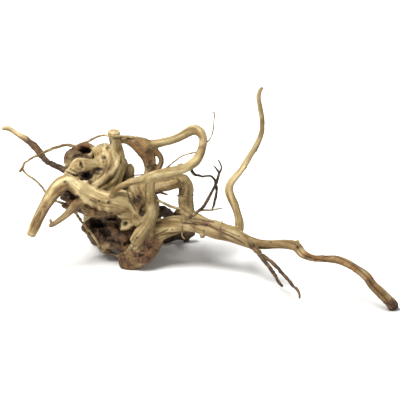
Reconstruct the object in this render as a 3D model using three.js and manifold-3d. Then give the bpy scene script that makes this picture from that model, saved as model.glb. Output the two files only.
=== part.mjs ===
// Red moorwood: one grown piece of root wood, as used in aquariums. A knotted crown of fused roots
// stands on a knobbly foot, with a long arm to the right, an upright limb, a looping limb, an arch,
// a bent arm to the left and many fine rootlets. It rests on the foot, the crown's heel, a dark root
// at the back and the tip of the long arm. Millimetres, +Z up, the front looking along +Y.
import * as THREE from "three";
import { mergeVertices } from "three/addons/utils/BufferGeometryUtils.js";
import Module from "manifold-3d";

// Every limb is a row of stations [across, down, near, radius], in millimetres on a square front view:
// across from its left edge, down from its top edge, and near from it towards the eye. The view looks
// down on the standing root by the tilt, and the foot touches the ground at the point named here.
const viewSize = 400;
const footAcross = 130;
const footDown = 268;
const viewTilt = THREE.MathUtils.degToRad(25);
const eyeDistance = 2200;
const groundSize = 1200;
const groundDepth = 50;

// How finely a limb is built: the length of limb from ring to ring, and the sides of a ring by the
// limb's largest radius.
const stepPerRadius = 2.2;
const shortestStep = 6;
const sidesByRadius = [[9, 8], [4.9, 7], [2.5, 6], [1.25, 5], [0, 4]];

// The rounding of a limb's end, as shares of its last radius.
const endRise = 0.5;
const shoulder = { rise: 0.35, radius: 0.76 };

// Flutes that turn round a limb as it runs: how many, how deep as a share of the radius, and the
// length of limb in which they turn once by a radian.
const flutes = [
  { count: 2, depth: 0.07, turn: 38 },
  { count: 3, depth: 0.05, turn: -23 },
  { count: 5, depth: 0.035, turn: 31 },
];
const swelling = { depth: 0.05, turn: 7 };

const armsAndLimbs = {
  trunk: [
    [141, 250, 6, 13], [150, 239, 10, 12.5], [160, 229.5, 15, 10.8], [172, 225.5, 19, 8.6],
    [186, 224.5, 22, 7.6], [203, 226.5, 26, 8], [220, 230.5, 30, 7.6], [236, 236, 35, 7],
    [248, 241.5, 41, 5.8], [259, 244, 46, 4.8], [274, 244.3, 53, 4.5], [288, 244.6, 60, 4.5],
    [297, 247, 65, 4.8], [303, 254, 69, 4.4], [312, 258, 73, 3.7], [324, 258.8, 78, 3.8],
    [336, 259.8, 83, 4], [347, 263.5, 87, 4.1], [358, 270, 91, 4.5], [367, 277.5, 94, 4.6],
    [373.5, 286, 95, 4.5], [382, 293.5, 92, 5.1], [390, 301, 86, 5], [394.5, 307, 81.5, 4.4],
  ],
  upperStrand: [
    [184, 212, 14, 6], [192, 216, 19, 5.5], [203, 220.5, 25, 4.6], [216, 226, 30, 4.6],
    [230, 230, 34, 4.4], [243, 237, 38, 4],
  ],
  upright: [
    [239, 234, 30, 4.2], [239.3, 227, 30, 4.9], [239, 221, 31, 5.1], [237.6, 213.5, 32, 4.8],
    [234.5, 204.5, 33, 4.5], [231, 197, 34, 4.1], [229, 190, 35, 3.9], [230.5, 183.5, 36, 3.7],
    [235.5, 177, 38, 3.3], [241, 170.5, 40, 3], [245.5, 163.5, 41, 3], [250, 156, 42, 2.7],
    [254.5, 148.5, 43, 2.9], [258.5, 141, 44, 2.6], [261.5, 132.5, 46, 2.6], [262.2, 124.5, 48, 2.4],
    [261.7, 117, 49, 2.3], [260.3, 109, 51, 2.2], [259, 101, 53, 2], [258.6, 95.5, 54, 2.2],
    [260.3, 90.3, 56, 1.9], [262.2, 87.9, 57, 1.5],
  ],
  loop: [
    [146, 144, 18, 4.2], [154, 144, 20, 4.4], [163, 142, 23, 4.6], [173, 139.5, 27, 4.6],
    [182, 135.5, 31, 4.6], [189, 131.5, 34, 4.8], [195, 129.5, 37, 5], [200.5, 132.5, 39, 4.8],
    [203.3, 139, 41, 4.1], [202.5, 147, 43, 4], [199.5, 155, 45, 4.4], [194, 162.5, 46, 4.6],
    [185, 168, 47, 4.3], [174, 171, 48, 4.5], [163, 173.5, 48, 4.8], [152, 177, 48, 5.2],
    [141, 180, 48, 4.5], [130, 182, 47, 4.3], [121, 186, 46, 4.4], [114, 191.5, 44, 4.2],
    [110.5, 197.5, 42, 3.4], [108, 203, 40, 2.8],
  ],
  strut: [
    [150, 181, 46, 5.2], [149.8, 191, 42, 5.2], [151, 202, 38, 5.4], [152, 212, 33, 6.2],
    [149.5, 221, 28, 7.5], [145, 229, 24, 7.5], [140, 236, 20, 7.2], [136, 241.5, 17, 6.2],
  ],
  arch: [
    [113, 141, 20, 5], [121, 139.5, 20, 4.6], [130, 141, 21, 5.2], [138, 144.5, 21, 6.5],
    [145, 150.5, 19, 7.2], [149, 159, 16, 6.2], [150, 168, 13, 5.6], [149, 178, 10, 6], [146, 190, 6, 7],
  ],
  archStrand: [
    [141, 139.5, 23, 3], [147, 141.5, 22, 3.2], [152, 146.5, 21, 3.2], [157, 152, 19, 3],
    [161.3, 158.5, 17, 2.8], [161, 164, 15, 2.9], [157.5, 169, 13, 3.2], [153, 177, 11, 3.5],
  ],
  bentLimb: [
    [148, 190, 14, 6.5], [158, 186.5, 18, 5.8], [167, 184.5, 17, 5.8], [175, 182, 14, 6.3],
    [182, 181.5, 10, 7], [185.8, 188, 8, 7.6], [185.8, 195, 8, 7.2], [186, 203, 10, 6.6],
    [187, 210, 13, 6.8], [190, 217, 17, 7], [196, 221, 21, 6],
  ],
  leftArm: [
    [31, 234.3, 30, 4.6], [34.8, 226.5, 31, 5.6], [39.6, 216.5, 32, 6.1], [44.7, 206.8, 32, 6.3],
    [50, 198, 31, 6.5], [56, 190.3, 30, 7.3], [63, 184, 30, 8], [70, 182, 30, 8.4],
    [78, 186.5, 32, 8.6], [87, 193.5, 35, 8.8], [97, 198, 36, 9.2], [108, 200.5, 36, 10],
    [119, 200.5, 33, 11.3], [127, 203, 28, 9], [136, 209, 24, 7],
  ],
  leftBranch: [
    [84, 198, 34, 4.5], [77, 204, 37, 4.2], [71, 210.3, 39, 3.6], [64, 216.8, 40, 3],
    [57.5, 221.6, 41, 2.7], [52, 224.9, 41, 2.5], [49.6, 226, 41, 2],
  ],
  armWeb: [[59, 190, 21, 6], [66, 191.5, 20, 7], [73, 196, 18, 6.6]],
  darkLimb: [
    [76, 176, -8, 4], [66, 171, -6, 3.3], [60, 168, -7, 3.1], [52, 164.5, -8, 2.8], [46, 161, -9, 3],
    [42, 156, -10, 3.1], [38.5, 151, -11, 3.3], [33, 145.3, -12, 3.4], [28, 140.8, -12.5, 3.4],
    [23.5, 137.6, -13, 3.3], [17, 133.7, -14, 2.7], [11, 129.6, -15, 2.7], [6.5, 127.6, -15, 2.9],
    [2.5, 128.3, -15, 1.9],
  ],
};

const crown = {
  core: [[110, 188, -6, 18], [112, 206, -8, 23], [112, 222, -10, 17]],
  coreLeft: [[76, 170, -5, 8], [84, 182, -8, 11], [95, 196, -8, 15]],
  slab: [[103, 188, 8, 15], [107, 175, 8, 17], [109, 164, 8, 17.3], [106, 155.5, 8, 12.2]],
  slabTop: [[99, 153, 3, 8], [104, 151, 6, 8.4], [110, 153, 10, 9]],
  knob: [
    [118, 164, 12, 8.5], [117, 153, 17, 7.4], [115.3, 144, 21, 6], [114.4, 138, 24, 5.4],
    [114.2, 134, 25.5, 6], [114.2, 132.5, 26, 6.2],
  ],
  slabRidge: [
    [119, 155, 24, 2.2], [116, 162, 26, 3.2], [111.5, 169, 27.5, 3.6], [105, 176, 28, 3.8],
    [98.5, 182.5, 28, 4], [92, 187, 28, 4],
  ],
  hump: [[87, 179, 20, 4.5], [94, 177, 23, 5], [101, 172, 22, 4]],
  darkBacking: [[84, 163, 0, 8], [88, 172, 2, 9], [92, 182, 4, 10]],
  knotLimb: [
    [100, 165, 17, 7], [90, 164.5, 22, 6], [84, 165, 24, 6.6], [78, 166, 26, 8], [73.5, 170, 28, 6],
    [69, 176, 29, 6],
  ],
  burl: [[73, 165, 3, 9.5], [74.5, 159, 1, 10.3], [82, 155, -3, 8.7], [91, 155, -2, 8.3]],
  burlCrust: [
    [74.5, 150.5, 4, 2.6], [78, 147.5, 6, 3], [83, 146, 7, 3], [88, 145.8, 6, 2.6], [93, 148, 4, 2.4],
  ],
  paleRoot: [[128.8, 165.5, 0, 3.6], [130.5, 169, 0, 4.2], [130, 174, 0, 4.6], [129, 182, 0, 6]],
  panel: [[136, 184, 4, 9], [141, 195, 6, 12], [146, 204, 4, 12.5], [147, 214, 4, 12]],
  lip: [[84, 206, 26, 4], [90, 210, 27, 5.5], [98, 211.3, 27, 5.6], [107, 210, 26, 6], [117, 209, 25, 6]],
  underLimb: [[61.5, 197.5, 16, 2.4], [67, 199, 18, 3.4], [76, 203, 20, 5.5], [86, 206, 14, 8]],
  underBark: [[63, 205, 12, 3], [69, 206.7, 14, 4.2], [78, 207.5, 15, 5.4], [88, 208, 10, 8]],
  knotPale: [[118.5, 217.5, 26, 2.8], [123, 217, 28.5, 4.2], [127.5, 216.3, 27, 3.4], [132, 213, 24, 5]],
  knotRing: [[121, 226, 23, 4.6], [126, 225.2, 23, 5.2], [131, 221, 20, 6]],
  cheekLow: [[124, 222, 8, 8], [131, 228, 6, 9], [136, 236, 6, 8]],
  cheek: [[128, 210, 24, 6], [136, 214, 22, 7.5], [141.5, 221, 22, 7.5]],
  base: [[88.5, 225, -2, 8.6], [96, 230, -6, 11.5], [110, 236, -8, 13.5], [120, 238, -4, 11]],
  baseLump: [[109, 229, 2, 9], [118, 232, 6, 9.5], [126, 236, 6, 8]],
  baseBlock: [[112, 243, -4, 6.5], [119, 244, 0, 7], [128, 246, 2, 6.5]],
  paleLump: [[103, 243.5, -8, 5.4], [107, 248, -11, 5.4]],
  heel: [[104, 222, -18, 13], [100, 229, -34, 10.5], [99, 236.5, -50.5, 10]],
  foot: [
    [122.8, 260.6, -1, 8], [128, 259.8, 0, 9.6], [133, 258.6, 1, 10.6], [139, 254, 5, 12.5],
    [147, 247.3, 7, 13], [150, 240, 10, 12.5],
  ],
  footHeel: [[143, 254, 3, 9], [150.5, 249.5, 5, 9.3]],
};

const backOfCrown = {
  backRootLeft: [
    [80, 164, -8, 8], [83, 179, -24, 7.4], [95, 194, -38, 7], [111, 206, -45, 6.2], [122, 220, -41, 6],
    [127, 234, -29, 6], [134, 246, -10, 5.6],
  ],
  backRootMiddle: [
    [100, 158, -6, 8], [107, 174, -26, 8.4], [101, 194, -37, 7.6], [91, 211, -41, 8],
    [95, 230, -45, 8.6],
  ],
  backRootFork: [[110, 206, -44, 5], [107, 218, -53, 3.8], [105, 229, -58, 2.8]],
  backRootRight: [
    [116, 152, 2, 8], [124, 176, -24, 8.5], [138, 200, -30, 8.5], [156, 222, -40, 7], [168, 236, -49, 5],
  ],
  backStub: [[122, 186, -26, 7], [125, 178, -42, 5], [123, 172, -56, 3.8]],
  darkRoot: [
    [148, 208, -2, 8], [157, 211, -6, 6], [164, 211, -8, 5.2], [168.5, 215.5, -14, 4.8],
    [172, 222, -26, 5.5], [174, 229, -38, 5.5], [176, 234.5, -49, 5],
  ],
  darkRootLying: [
    [163.5, 240.3, -52, 4], [169, 237.5, -50, 4.2], [176, 235.3, -50, 4.8], [184, 235.4, -50, 4.6],
    [190, 234.5, -50, 3.4], [194, 233.6, -50, 2],
  ],
  darkToe: [[185, 236, -50, 3.6], [186.5, 240.4, -54.5, 2.7]],
};

const twigsAndRootlets = {
  forkedTwig: [
    [222, 229.5, 34, 4], [232, 232.5, 38, 4.3], [241, 236.5, 42, 4.2], [249, 243, 46, 3.8],
    [255, 249, 50, 3.2], [260, 254, 53, 2.6], [266, 257.3, 57, 2], [272, 262.3, 60, 1.8],
    [279, 269.3, 64, 1.8], [286, 277, 69, 1.7], [292, 284.3, 73, 1.6], [297.3, 290, 78, 1.5],
    [299.6, 294.5, 81, 1.3], [299.5, 298, 83, 0.8],
  ],
  forkedTwigShort: [
    [258.5, 251.5, 53, 2.4], [262, 257.5, 56, 2.2], [266.5, 263.5, 59, 2], [271, 269, 62, 2.2],
    [274.5, 275, 65, 2], [278, 281, 68, 1.6], [281, 285.3, 71, 1.4], [282.2, 286.2, 72, 1.2],
  ],
  forkSpur: [[255, 248.5, 50, 2.4], [258.3, 253.6, 51, 1.3]],
  leftBranchStub: [[51.8, 224.3, 41, 1.8], [50.2, 219.3, 42, 0.9]],
  darkLimbKnot: [[27, 139, -12.5, 2.4], [26.2, 136, -12.5, 1.3]],
  elbowSpur: [[294.5, 245.5, 63, 3.6], [298.6, 240.8, 63, 1.5]],
  trunkStub: [[200, 228, 27, 3], [202, 234, 29, 2.3], [202.5, 237, 29, 2.1]],
  loopKnot: [[178.5, 167, 45, 2.6], [182, 165, 45, 2.3]],
  smallKnots: [[176, 214.5, 4, 3.2], [179, 211.5, 12, 3], [185, 214, 16, 4]],
  leftLoopTwig: [
    [19.5, 171.5, 8, 1.4], [22.3, 167.5, 8, 1.3], [24, 163.3, 8, 1.1], [28, 160.3, 8, 1.1],
    [34, 157, 7, 1.1], [41, 153.8, 6, 1.2], [48, 150.3, 6, 1.2], [56, 147.4, 5, 1.3],
    [63, 145.5, 5, 1.4], [69, 145, 4, 1.4], [73.5, 146.3, 4, 1.8], [78, 148.5, 3, 2.4],
  ],
  topTwig: [
    [83, 144, 5, 2], [89, 141, 7, 1.3], [94, 138.2, 11, 1.2], [99, 136, 18, 1.1], [105, 135.4, 26, 1],
    [109, 135.8, 30.5, 0.9], [115, 136.2, 31.8, 0.9], [121, 136.2, 28.5, 1], [129, 136.8, 26, 1.3],
    [137, 138, 25, 1.6], [143, 140, 23, 1.8],
  ],
  leftDownTwig: [
    [21.8, 168.6, 8, 1.2], [26, 173.5, 8, 1], [31, 177.5, 8, 1.1], [36.5, 181, 7, 1.2],
    [41, 186, 7, 1.1], [45, 191.5, 8, 1.1], [49, 197, 9, 1.1], [54, 200.3, 11, 1.1],
    [60, 202.3, 13, 1.2], [67, 205, 14, 1.8],
  ],
  rimRootlet: [
    [73, 210, 16, 1.6], [77, 214.5, 9, 1.4], [80, 219.5, 6, 1.5], [84, 224.5, 4, 1.7],
    [89, 230.5, 1, 2.2], [94, 237, -3, 2.6], [98.5, 244, -8, 2.8], [102, 250, -13, 3.2],
    [107, 252.3, -14, 2.8], [112, 253, -11, 1.6], [116, 255, -6, 1], [121, 257, -1, 1.2],
  ],
  risingTwig: [
    [188, 219, 24, 2], [196, 213, 24, 1.7], [201, 209.3, 22, 1.6], [205, 204, 21, 1.6],
    [209, 197, 20, 1.5], [213, 189.5, 20, 1.4], [216.3, 182.5, 20, 1.4], [218.3, 176, 20, 1.3],
    [218.7, 172.5, 20, 1.1], [216.6, 169.3, 20, 0.9], [214.3, 166.3, 20, 0.7],
  ],
  risingTwigFork: [
    [218.5, 174.5, 20, 1], [220.8, 170.3, 21, 0.9], [221.5, 167, 21, 0.8], [220.3, 163.3, 21, 0.7],
    [218.3, 160, 21, 0.6],
  ],
  hangingTwig: [
    [191, 167, 45, 1.8], [192.8, 172.5, 42, 1.3], [195.5, 174.8, 40, 1.2], [199, 175.6, 38, 1.1],
    [203, 176.7, 35, 1.1], [207, 175.8, 32, 1.1], [211, 176.3, 29, 1.2], [214.3, 179.5, 24, 1.3],
    [216, 184, 21, 1.3], [216.6, 190, 20, 1.2], [216.2, 196, 19, 1.2], [214.6, 202, 19, 1.2],
    [213, 207, 19.5, 1.1], [211.5, 210.3, 20, 0.8],
  ],
  sideTwig: [
    [193, 215, 25, 1.6], [199, 211, 22, 1.1], [205, 210.2, 21, 0.9], [212, 210, 20, 0.9],
    [218, 208.9, 19, 0.7], [222.5, 208, 18, 0.5],
  ],
  hairTwig: [
    [204.5, 144.5, 42, 1], [209.5, 139.5, 39, 0.6], [212, 134.5, 38, 0.6], [213.3, 129, 37, 0.55],
    [213.8, 123, 36, 0.55], [214.3, 117, 35, 0.55], [214.2, 112.6, 34, 0.6], [211.8, 112, 33, 0.5],
  ],
  loopTwig: [
    [164, 171, 46, 1.4], [171, 164, 45, 0.8], [176, 160.3, 44, 0.75], [180.5, 156.8, 43, 0.7],
    [185.5, 154.7, 42, 0.65], [191, 153.3, 42, 0.65], [199, 151.5, 43, 0.8],
  ],
  bentLimbVine: [
    [162, 173, 46, 1.2], [169, 177.3, 38, 0.8], [173.5, 179, 29, 0.9], [177, 178.7, 23, 0.8],
    [180.5, 183, 17.5, 0.8], [182.8, 188, 15, 0.8], [184, 194, 14, 0.8], [186, 199, 15.5, 0.8],
  ],
  bentLimbBand: [
    [177.5, 195.8, 10, 0.8], [181, 196, 13.6, 0.8], [187, 195.7, 15, 0.8], [193, 194.8, 9, 0.8],
  ],
  darkGapTwig: [[151, 194, 38, 1.2], [157, 192.8, 31, 1.2], [163, 193.2, 20, 1.2], [167.5, 194.6, 18, 0.8]],
  paleGapTwig: [
    [154, 198, 12, 1.6], [161, 201.8, 14, 1.2], [167, 204.6, 15, 1.3], [173, 207, 16, 1.3],
    [180, 209.3, 17, 1.5], [187, 212, 16, 2],
  ],
  archGapTwig: [[126, 176, 6, 1], [135, 175.2, 6, 0.6], [140, 175, 8, 0.7], [147, 174, 12, 0.8]],
  trunkVine: [
    [181, 219, 26, 1.2], [181.8, 226, 29.5, 0.9], [182.2, 231, 27, 0.9], [182, 236, 22, 0.8],
    [184.5, 238.5, 19, 0.7],
  ],
  trunkSliver: [[215, 224.5, 33, 1.8], [223, 221.3, 33, 0.7]],
};

// Pockets that rot and dried-out bark have left in the crown, as stations of what is missing.
const pockets = {
  burlPocket: [[80, 153, 8, 4], [85, 152.3, 8, 4.4]],
  lipPocket: [[98, 223.5, 12, 5.4], [99, 224, 0, 4.8]],
  snoutPocket: [[84.5, 177, 22, 3], [85, 177, 8, 2.8]],
  ringKnotPocket: [[122.5, 224.3, 27, 1.6], [122.5, 224.3, 34, 2.4]],
  sidePocket: [[142, 209, 19, 2.6], [143, 212, 26, 2.6]],
};

// A station's point on the standing root: the sheet is seen in perspective and looks down by the tilt.
function standingPoint([across, down, near]) {
  const middle = viewSize / 2;
  const shrink = 1 - near / eyeDistance;
  const right = (across - middle) * shrink + middle - footAcross;
  const up = (middle - down) * shrink + footDown - middle;
  return new THREE.Vector3(
    right,
    up * Math.sin(viewTilt) - near * Math.cos(viewTilt),
    up * Math.cos(viewTilt) + near * Math.sin(viewTilt),
  );
}

// The share by which a limb's radius differs from its stations' at an angle round it and a length along it.
function fluting(angle, along, start) {
  const turned = flutes.reduce(
    (sum, { count, depth, turn }) => sum + depth * Math.cos(count * angle + along / turn + start * count),
    0,
  );
  return 1 + turned + swelling.depth * Math.sin(along / swelling.turn + start);
}

// Rings along a limb, each with its centre, radius, length so far and two directions across the limb.
function ringsAlong(stations) {
  const points = stations.map(standingPoint);
  const curve = new THREE.CatmullRomCurve3(points, false, "centripetal");
  const spans = stations.length - 1;
  const side = new THREE.Vector3(1, 0, 0);
  if (Math.abs(curve.getTangent(0).x) > 0.9) side.set(0, 0, 1);
  const rings = [];
  for (let span = 0; span < spans; span += 1) {
    const step = Math.max(shortestStep, stepPerRadius * stations[span][3]);
    const steps = Math.max(1, Math.round(points[span].distanceTo(points[span + 1]) / step));
    const last = span === spans - 1 ? steps : steps - 1;
    for (let i = 0; i <= last; i += 1) {
      const share = i / steps;
      const centre = curve.getPoint((span + share) / spans);
      const direction = curve.getTangent((span + share) / spans);
      side.addScaledVector(direction, -side.dot(direction)).normalize();
      const before = rings.at(-1);
      rings.push({
        centre,
        direction,
        side: side.clone(),
        front: side.clone().cross(direction),
        radius: THREE.MathUtils.lerp(stations[span][3], stations[span + 1][3], share),
        along: before ? before.along + centre.distanceTo(before.centre) : 0,
      });
    }
  }
  return rings;
}

// A ring moved out from a limb's end, smaller by a share of its radius.
function beyond(ring, rise, radius) {
  const centre = ring.centre.clone().addScaledVector(ring.direction, rise * ring.radius);
  return { ...ring, centre, radius: radius * ring.radius };
}

// A closed limb: a lathed spindle with one row for each ring, fluted and bent onto the stations' curve.
// The flutes start at an angle taken from where the limb does, so no two limbs are alike.
function limbGeometry(stations) {
  const along = ringsAlong(stations);
  const start = stations[0][0] + stations[0][1];
  const [first, last] = [along[0], along.at(-1)];
  const rings = [
    beyond(first, -endRise, 0),
    beyond(first, -shoulder.rise, shoulder.radius),
    ...along,
    beyond(last, shoulder.rise, shoulder.radius),
    beyond(last, endRise, 0),
  ];
  const widest = Math.max(...stations.map((station) => station[3]));
  const sides = sidesByRadius.find(([radius]) => widest >= radius)[1];
  const profile = rings.map((ring, row) => new THREE.Vector2(ring.radius, row));
  const limb = new THREE.LatheGeometry(profile, sides);

  const { position } = limb.attributes;
  const spindle = new THREE.Vector3();
  for (let i = 0; i < position.count; i += 1) {
    spindle.fromBufferAttribute(position, i);
    const ring = rings[Math.round(spindle.y)];
    const share = fluting(Math.atan2(spindle.z, spindle.x), ring.along, start);
    const point = ring.centre.clone();
    point.addScaledVector(ring.side, share * spindle.x);
    point.addScaledVector(ring.front, share * spindle.z);
    position.setXYZ(i, ...point.toArray());
  }
  return limb;
}

const wasm = await Module();
wasm.setup();

function solidOf(geometry) {
  const bare = geometry.clone();
  bare.deleteAttribute("normal");
  bare.deleteAttribute("uv");
  const merged = mergeVertices(bare);
  return new wasm.Manifold(
    new wasm.Mesh({
      numProp: 3,
      vertProperties: merged.attributes.position.array,
      triVerts: new Uint32Array(merged.index.array),
    }),
  );
}

function limbSolids(group) {
  return Object.values(group).map((stations) => solidOf(limbGeometry(stations)));
}

// What lies under the ground plane, so that the root stands on small flat spots worn at its lowest points.
function groundSolid() {
  const ground = new THREE.BoxGeometry(groundSize, groundSize, groundDepth);
  return solidOf(ground.translate(0, 0, -groundDepth / 2));
}

function grownWood() {
  const grown = [armsAndLimbs, crown, backOfCrown, twigsAndRootlets]
    .flatMap(limbSolids)
    .reduce((wood, limb) => wood.add(limb));
  return [...limbSolids(pockets), groundSolid()].reduce((wood, missing) => wood.subtract(missing), grown);
}

function geometryOf(solid) {
  const { vertProperties, triVerts } = solid.getMesh();
  return new THREE.BufferGeometry()
    .setAttribute("position", new THREE.BufferAttribute(new Float32Array(vertProperties), 3))
    .setIndex(new THREE.BufferAttribute(new Uint32Array(triVerts), 1));
}

const geometry = geometryOf(grownWood());
geometry.computeBoundingBox();
const centre = geometry.boundingBox.getCenter(new THREE.Vector3());
geometry.translate(-centre.x, -centre.y, -geometry.boundingBox.min.z);
geometry.computeVertexNormals();

const weatheredWood = new THREE.MeshStandardMaterial({ color: 0xb59c6e, roughness: 0.85, metalness: 0 });
const root = new THREE.Mesh(geometry, weatheredWood);
root.name = "moorwood_root";

const moorwood = new THREE.Group();
moorwood.add(root);
export default moorwood;
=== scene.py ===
# Red moorwood: one dried, washed root from a bog, as sold for aquariums. Pale, sun-bleached limbs
# grow out of a knotted crown that still carries dark bark, with a red-brown burl as its foot.
import bmesh
import bpy
import numpy as np
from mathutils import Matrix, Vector


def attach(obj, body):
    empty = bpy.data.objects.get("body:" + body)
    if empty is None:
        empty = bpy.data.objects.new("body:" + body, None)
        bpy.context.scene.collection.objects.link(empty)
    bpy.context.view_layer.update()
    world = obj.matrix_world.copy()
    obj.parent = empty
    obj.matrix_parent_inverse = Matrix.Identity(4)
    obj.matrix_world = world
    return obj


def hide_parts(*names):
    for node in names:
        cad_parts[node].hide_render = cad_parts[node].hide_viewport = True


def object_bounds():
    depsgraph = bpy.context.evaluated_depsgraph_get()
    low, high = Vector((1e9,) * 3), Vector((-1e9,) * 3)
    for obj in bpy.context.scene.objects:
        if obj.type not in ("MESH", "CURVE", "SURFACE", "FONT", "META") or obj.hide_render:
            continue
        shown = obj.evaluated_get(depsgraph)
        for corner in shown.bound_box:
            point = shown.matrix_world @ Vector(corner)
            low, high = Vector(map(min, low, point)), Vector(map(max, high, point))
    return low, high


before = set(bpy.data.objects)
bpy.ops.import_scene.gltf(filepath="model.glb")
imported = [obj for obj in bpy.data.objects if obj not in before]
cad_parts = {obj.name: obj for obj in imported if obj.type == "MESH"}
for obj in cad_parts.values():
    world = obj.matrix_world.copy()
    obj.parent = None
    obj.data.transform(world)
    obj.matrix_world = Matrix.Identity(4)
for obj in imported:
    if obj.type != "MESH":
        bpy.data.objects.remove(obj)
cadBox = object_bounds()
print("stage: frame loaded")

# The front view that the limbs are laid out on, in millimetres: a square, seen from in front and above.
frontView = {
    "side": 400,
    "footAcross": 130,
    "footDown": 268,
    "tilt": np.radians(25),
    "eyeDistance": 2200,
    "boxShift": (-65.566, 1.806, 0),  # brings the root onto the middle of its own box
}
viewMiddle = frontView["side"] / 2
tiltSine = np.sin(frontView["tilt"])
tiltCosine = np.cos(frontView["tilt"])
towardsEye = np.array([0, -tiltCosine, tiltSine])


# Stations [across, down, near, ...] on the front view to points in metres: shrunk towards the view's
# middle by their nearness over the eye's distance, then tipped back by the tilt.
def standing(stations):
    stations = np.asarray(stations, dtype=float)
    near = stations[:, 2]
    shrink = 1 - near / frontView["eyeDistance"]
    right = (stations[:, 0] - viewMiddle) * shrink + viewMiddle - frontView["footAcross"]
    up = (viewMiddle - stations[:, 1]) * shrink + frontView["footDown"] - viewMiddle
    points = np.stack([right, up * tiltSine - near * tiltCosine, up * tiltCosine + near * tiltSine], axis=1)
    return (points + frontView["boxShift"]) / 1000


# The same the other way round: points in metres to across, down and near on the front view.
def onFrontView(points):
    points = points * 1000 - np.asarray(frontView["boxShift"])
    near = points[:, 2] * tiltSine - points[:, 1] * tiltCosine
    up = points[:, 2] * tiltCosine + points[:, 1] * tiltSine
    shrink = 1 - near / frontView["eyeDistance"]
    across = (points[:, 0] - viewMiddle + frontView["footAcross"]) / shrink + viewMiddle
    down = viewMiddle - (up - frontView["footDown"] + viewMiddle) / shrink
    return np.stack([across, down, near], axis=1)


# Large odd numbers that scramble whole numbers into random ones.
scramble = {"place": (73856093, 19349663, 83492791), "seed": 668265263, "mix": 1274126177}


# Value noise from -1 to 1: random numbers on whole-number points, blended smoothly between the eight
# points round each place.
def noise(places, seed):
    cell = np.floor(places).astype(np.int64)
    part = places - cell
    part = part * part * (3 - 2 * part)
    total = np.zeros(len(places))
    for corner in np.ndindex(2, 2, 2):
        first, second, third = ((cell + corner) * scramble["place"]).T
        mixed = first ^ second ^ third ^ (seed * scramble["seed"])
        mixed = ((mixed ^ (mixed >> 13)) * scramble["mix"]) & 0xFFFFFFFF
        value = ((mixed ^ (mixed >> 16)) & 0xFFFF) / 32767.5 - 1
        weight = np.where(corner, part, 1 - part)
        total += value * weight.prod(axis=1)
    return total


# Noises of several cell sizes, added up by their shares.
def layered(places, layers, seed):
    return sum(share * noise(places / cell, seed + i) for i, (cell, share) in enumerate(layers))


def smoothShare(value, low, high):
    share = np.clip((value - low) / (high - low), 0, 1)
    return share * share * (3 - 2 * share)


# A centripetal Catmull-Rom curve through the points, as even steps of length: centres, radii and
# the length so far. Radii run in straight lines between stations.
def pathThrough(stations, ringStep, fine=24):
    points = standing(stations)
    radii = np.asarray(stations, dtype=float)[:, 3] / 1000
    ends = np.vstack([2 * points[0] - points[1], points, 2 * points[-1] - points[-2]])
    before, start, stop, after = ends[:-3], ends[1:-2], ends[2:-1], ends[3:]
    steps = (start - before, stop - start, after - stop)
    first, span, last = (np.linalg.norm(step, axis=1, keepdims=True) ** 0.5 for step in steps)
    leave = ((start - before) / first - (stop - before) / (first + span) + (stop - start) / span) * span
    arrive = ((stop - start) / span - (after - start) / (span + last) + (after - stop) / last) * span
    share = np.linspace(0, 1, fine, endpoint=False)[:, None, None]
    square = share * share
    cube = square * share
    dense = start * (2 * cube - 3 * square + 1) + leave * (cube - 2 * square + share)
    dense = dense + stop * (3 * square - 2 * cube) + arrive * (cube - square)
    dense = np.vstack([dense.transpose(1, 0, 2).reshape(-1, 3), points[-1]])
    place = np.append((np.arange(len(points) - 1)[:, None] + share[:, 0, 0]).ravel(), len(points) - 1)
    length = np.append(0, np.cumsum(np.linalg.norm(np.diff(dense, axis=0), axis=1)))
    along = np.linspace(0, length[-1], max(3, round(length[-1] / ringStep) + 1))
    centres = np.stack([np.interp(along, length, dense[:, i]) for i in range(3)], axis=1)
    return centres, np.interp(np.interp(along, length, place), np.arange(len(radii)), radii), along


# The spindle that a limb grows round: centres, radii, lengths, and three directions at each ring, of
# which two are carried along without turning round the limb. The first of them starts upwards where
# the limb sets off nearly sideways, and sideways elsewhere.
def spindle(stations, ringStep, nearlySideways=0.9):
    centres, radii, along = pathThrough(stations, ringStep)
    direction = np.gradient(centres, axis=0)
    direction /= np.linalg.norm(direction, axis=1, keepdims=True)
    side = np.zeros_like(direction)
    carried = np.array([0, 0, 1.0]) if abs(direction[0, 0]) > nearlySideways else np.array([1.0, 0, 0])
    for ring, forward in enumerate(direction):
        carried = carried - carried.dot(forward) * forward
        carried /= np.linalg.norm(carried)
        side[ring] = carried
    return {
        "centres": centres,
        "radii": radii,
        "along": along,
        "direction": direction,
        "side": side,
        "front": np.cross(side, direction),
    }


# How a limb's radius swells: a sum of cosines round it that turn slowly as it runs, and one along it.
fluting = {"lobes": ((2, 0.07, 38), (3, 0.05, -23), (5, 0.035, 31)), "swell": 0.05, "swellLength": 7}


def fluted(angle, along, start):
    share = 1 + fluting["swell"] * np.sin(along / fluting["swellLength"] + start)
    for count, depth, turn in fluting["lobes"]:
        share = share + depth * np.cos(count * angle + along / turn + start * count)
    return share


# A limb's ends: the angles of their rings, and how far they stand out as a share of the radius.
tips = {"angles": np.radians([90, 66, 42, 20]), "reach": 0.5}


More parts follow.
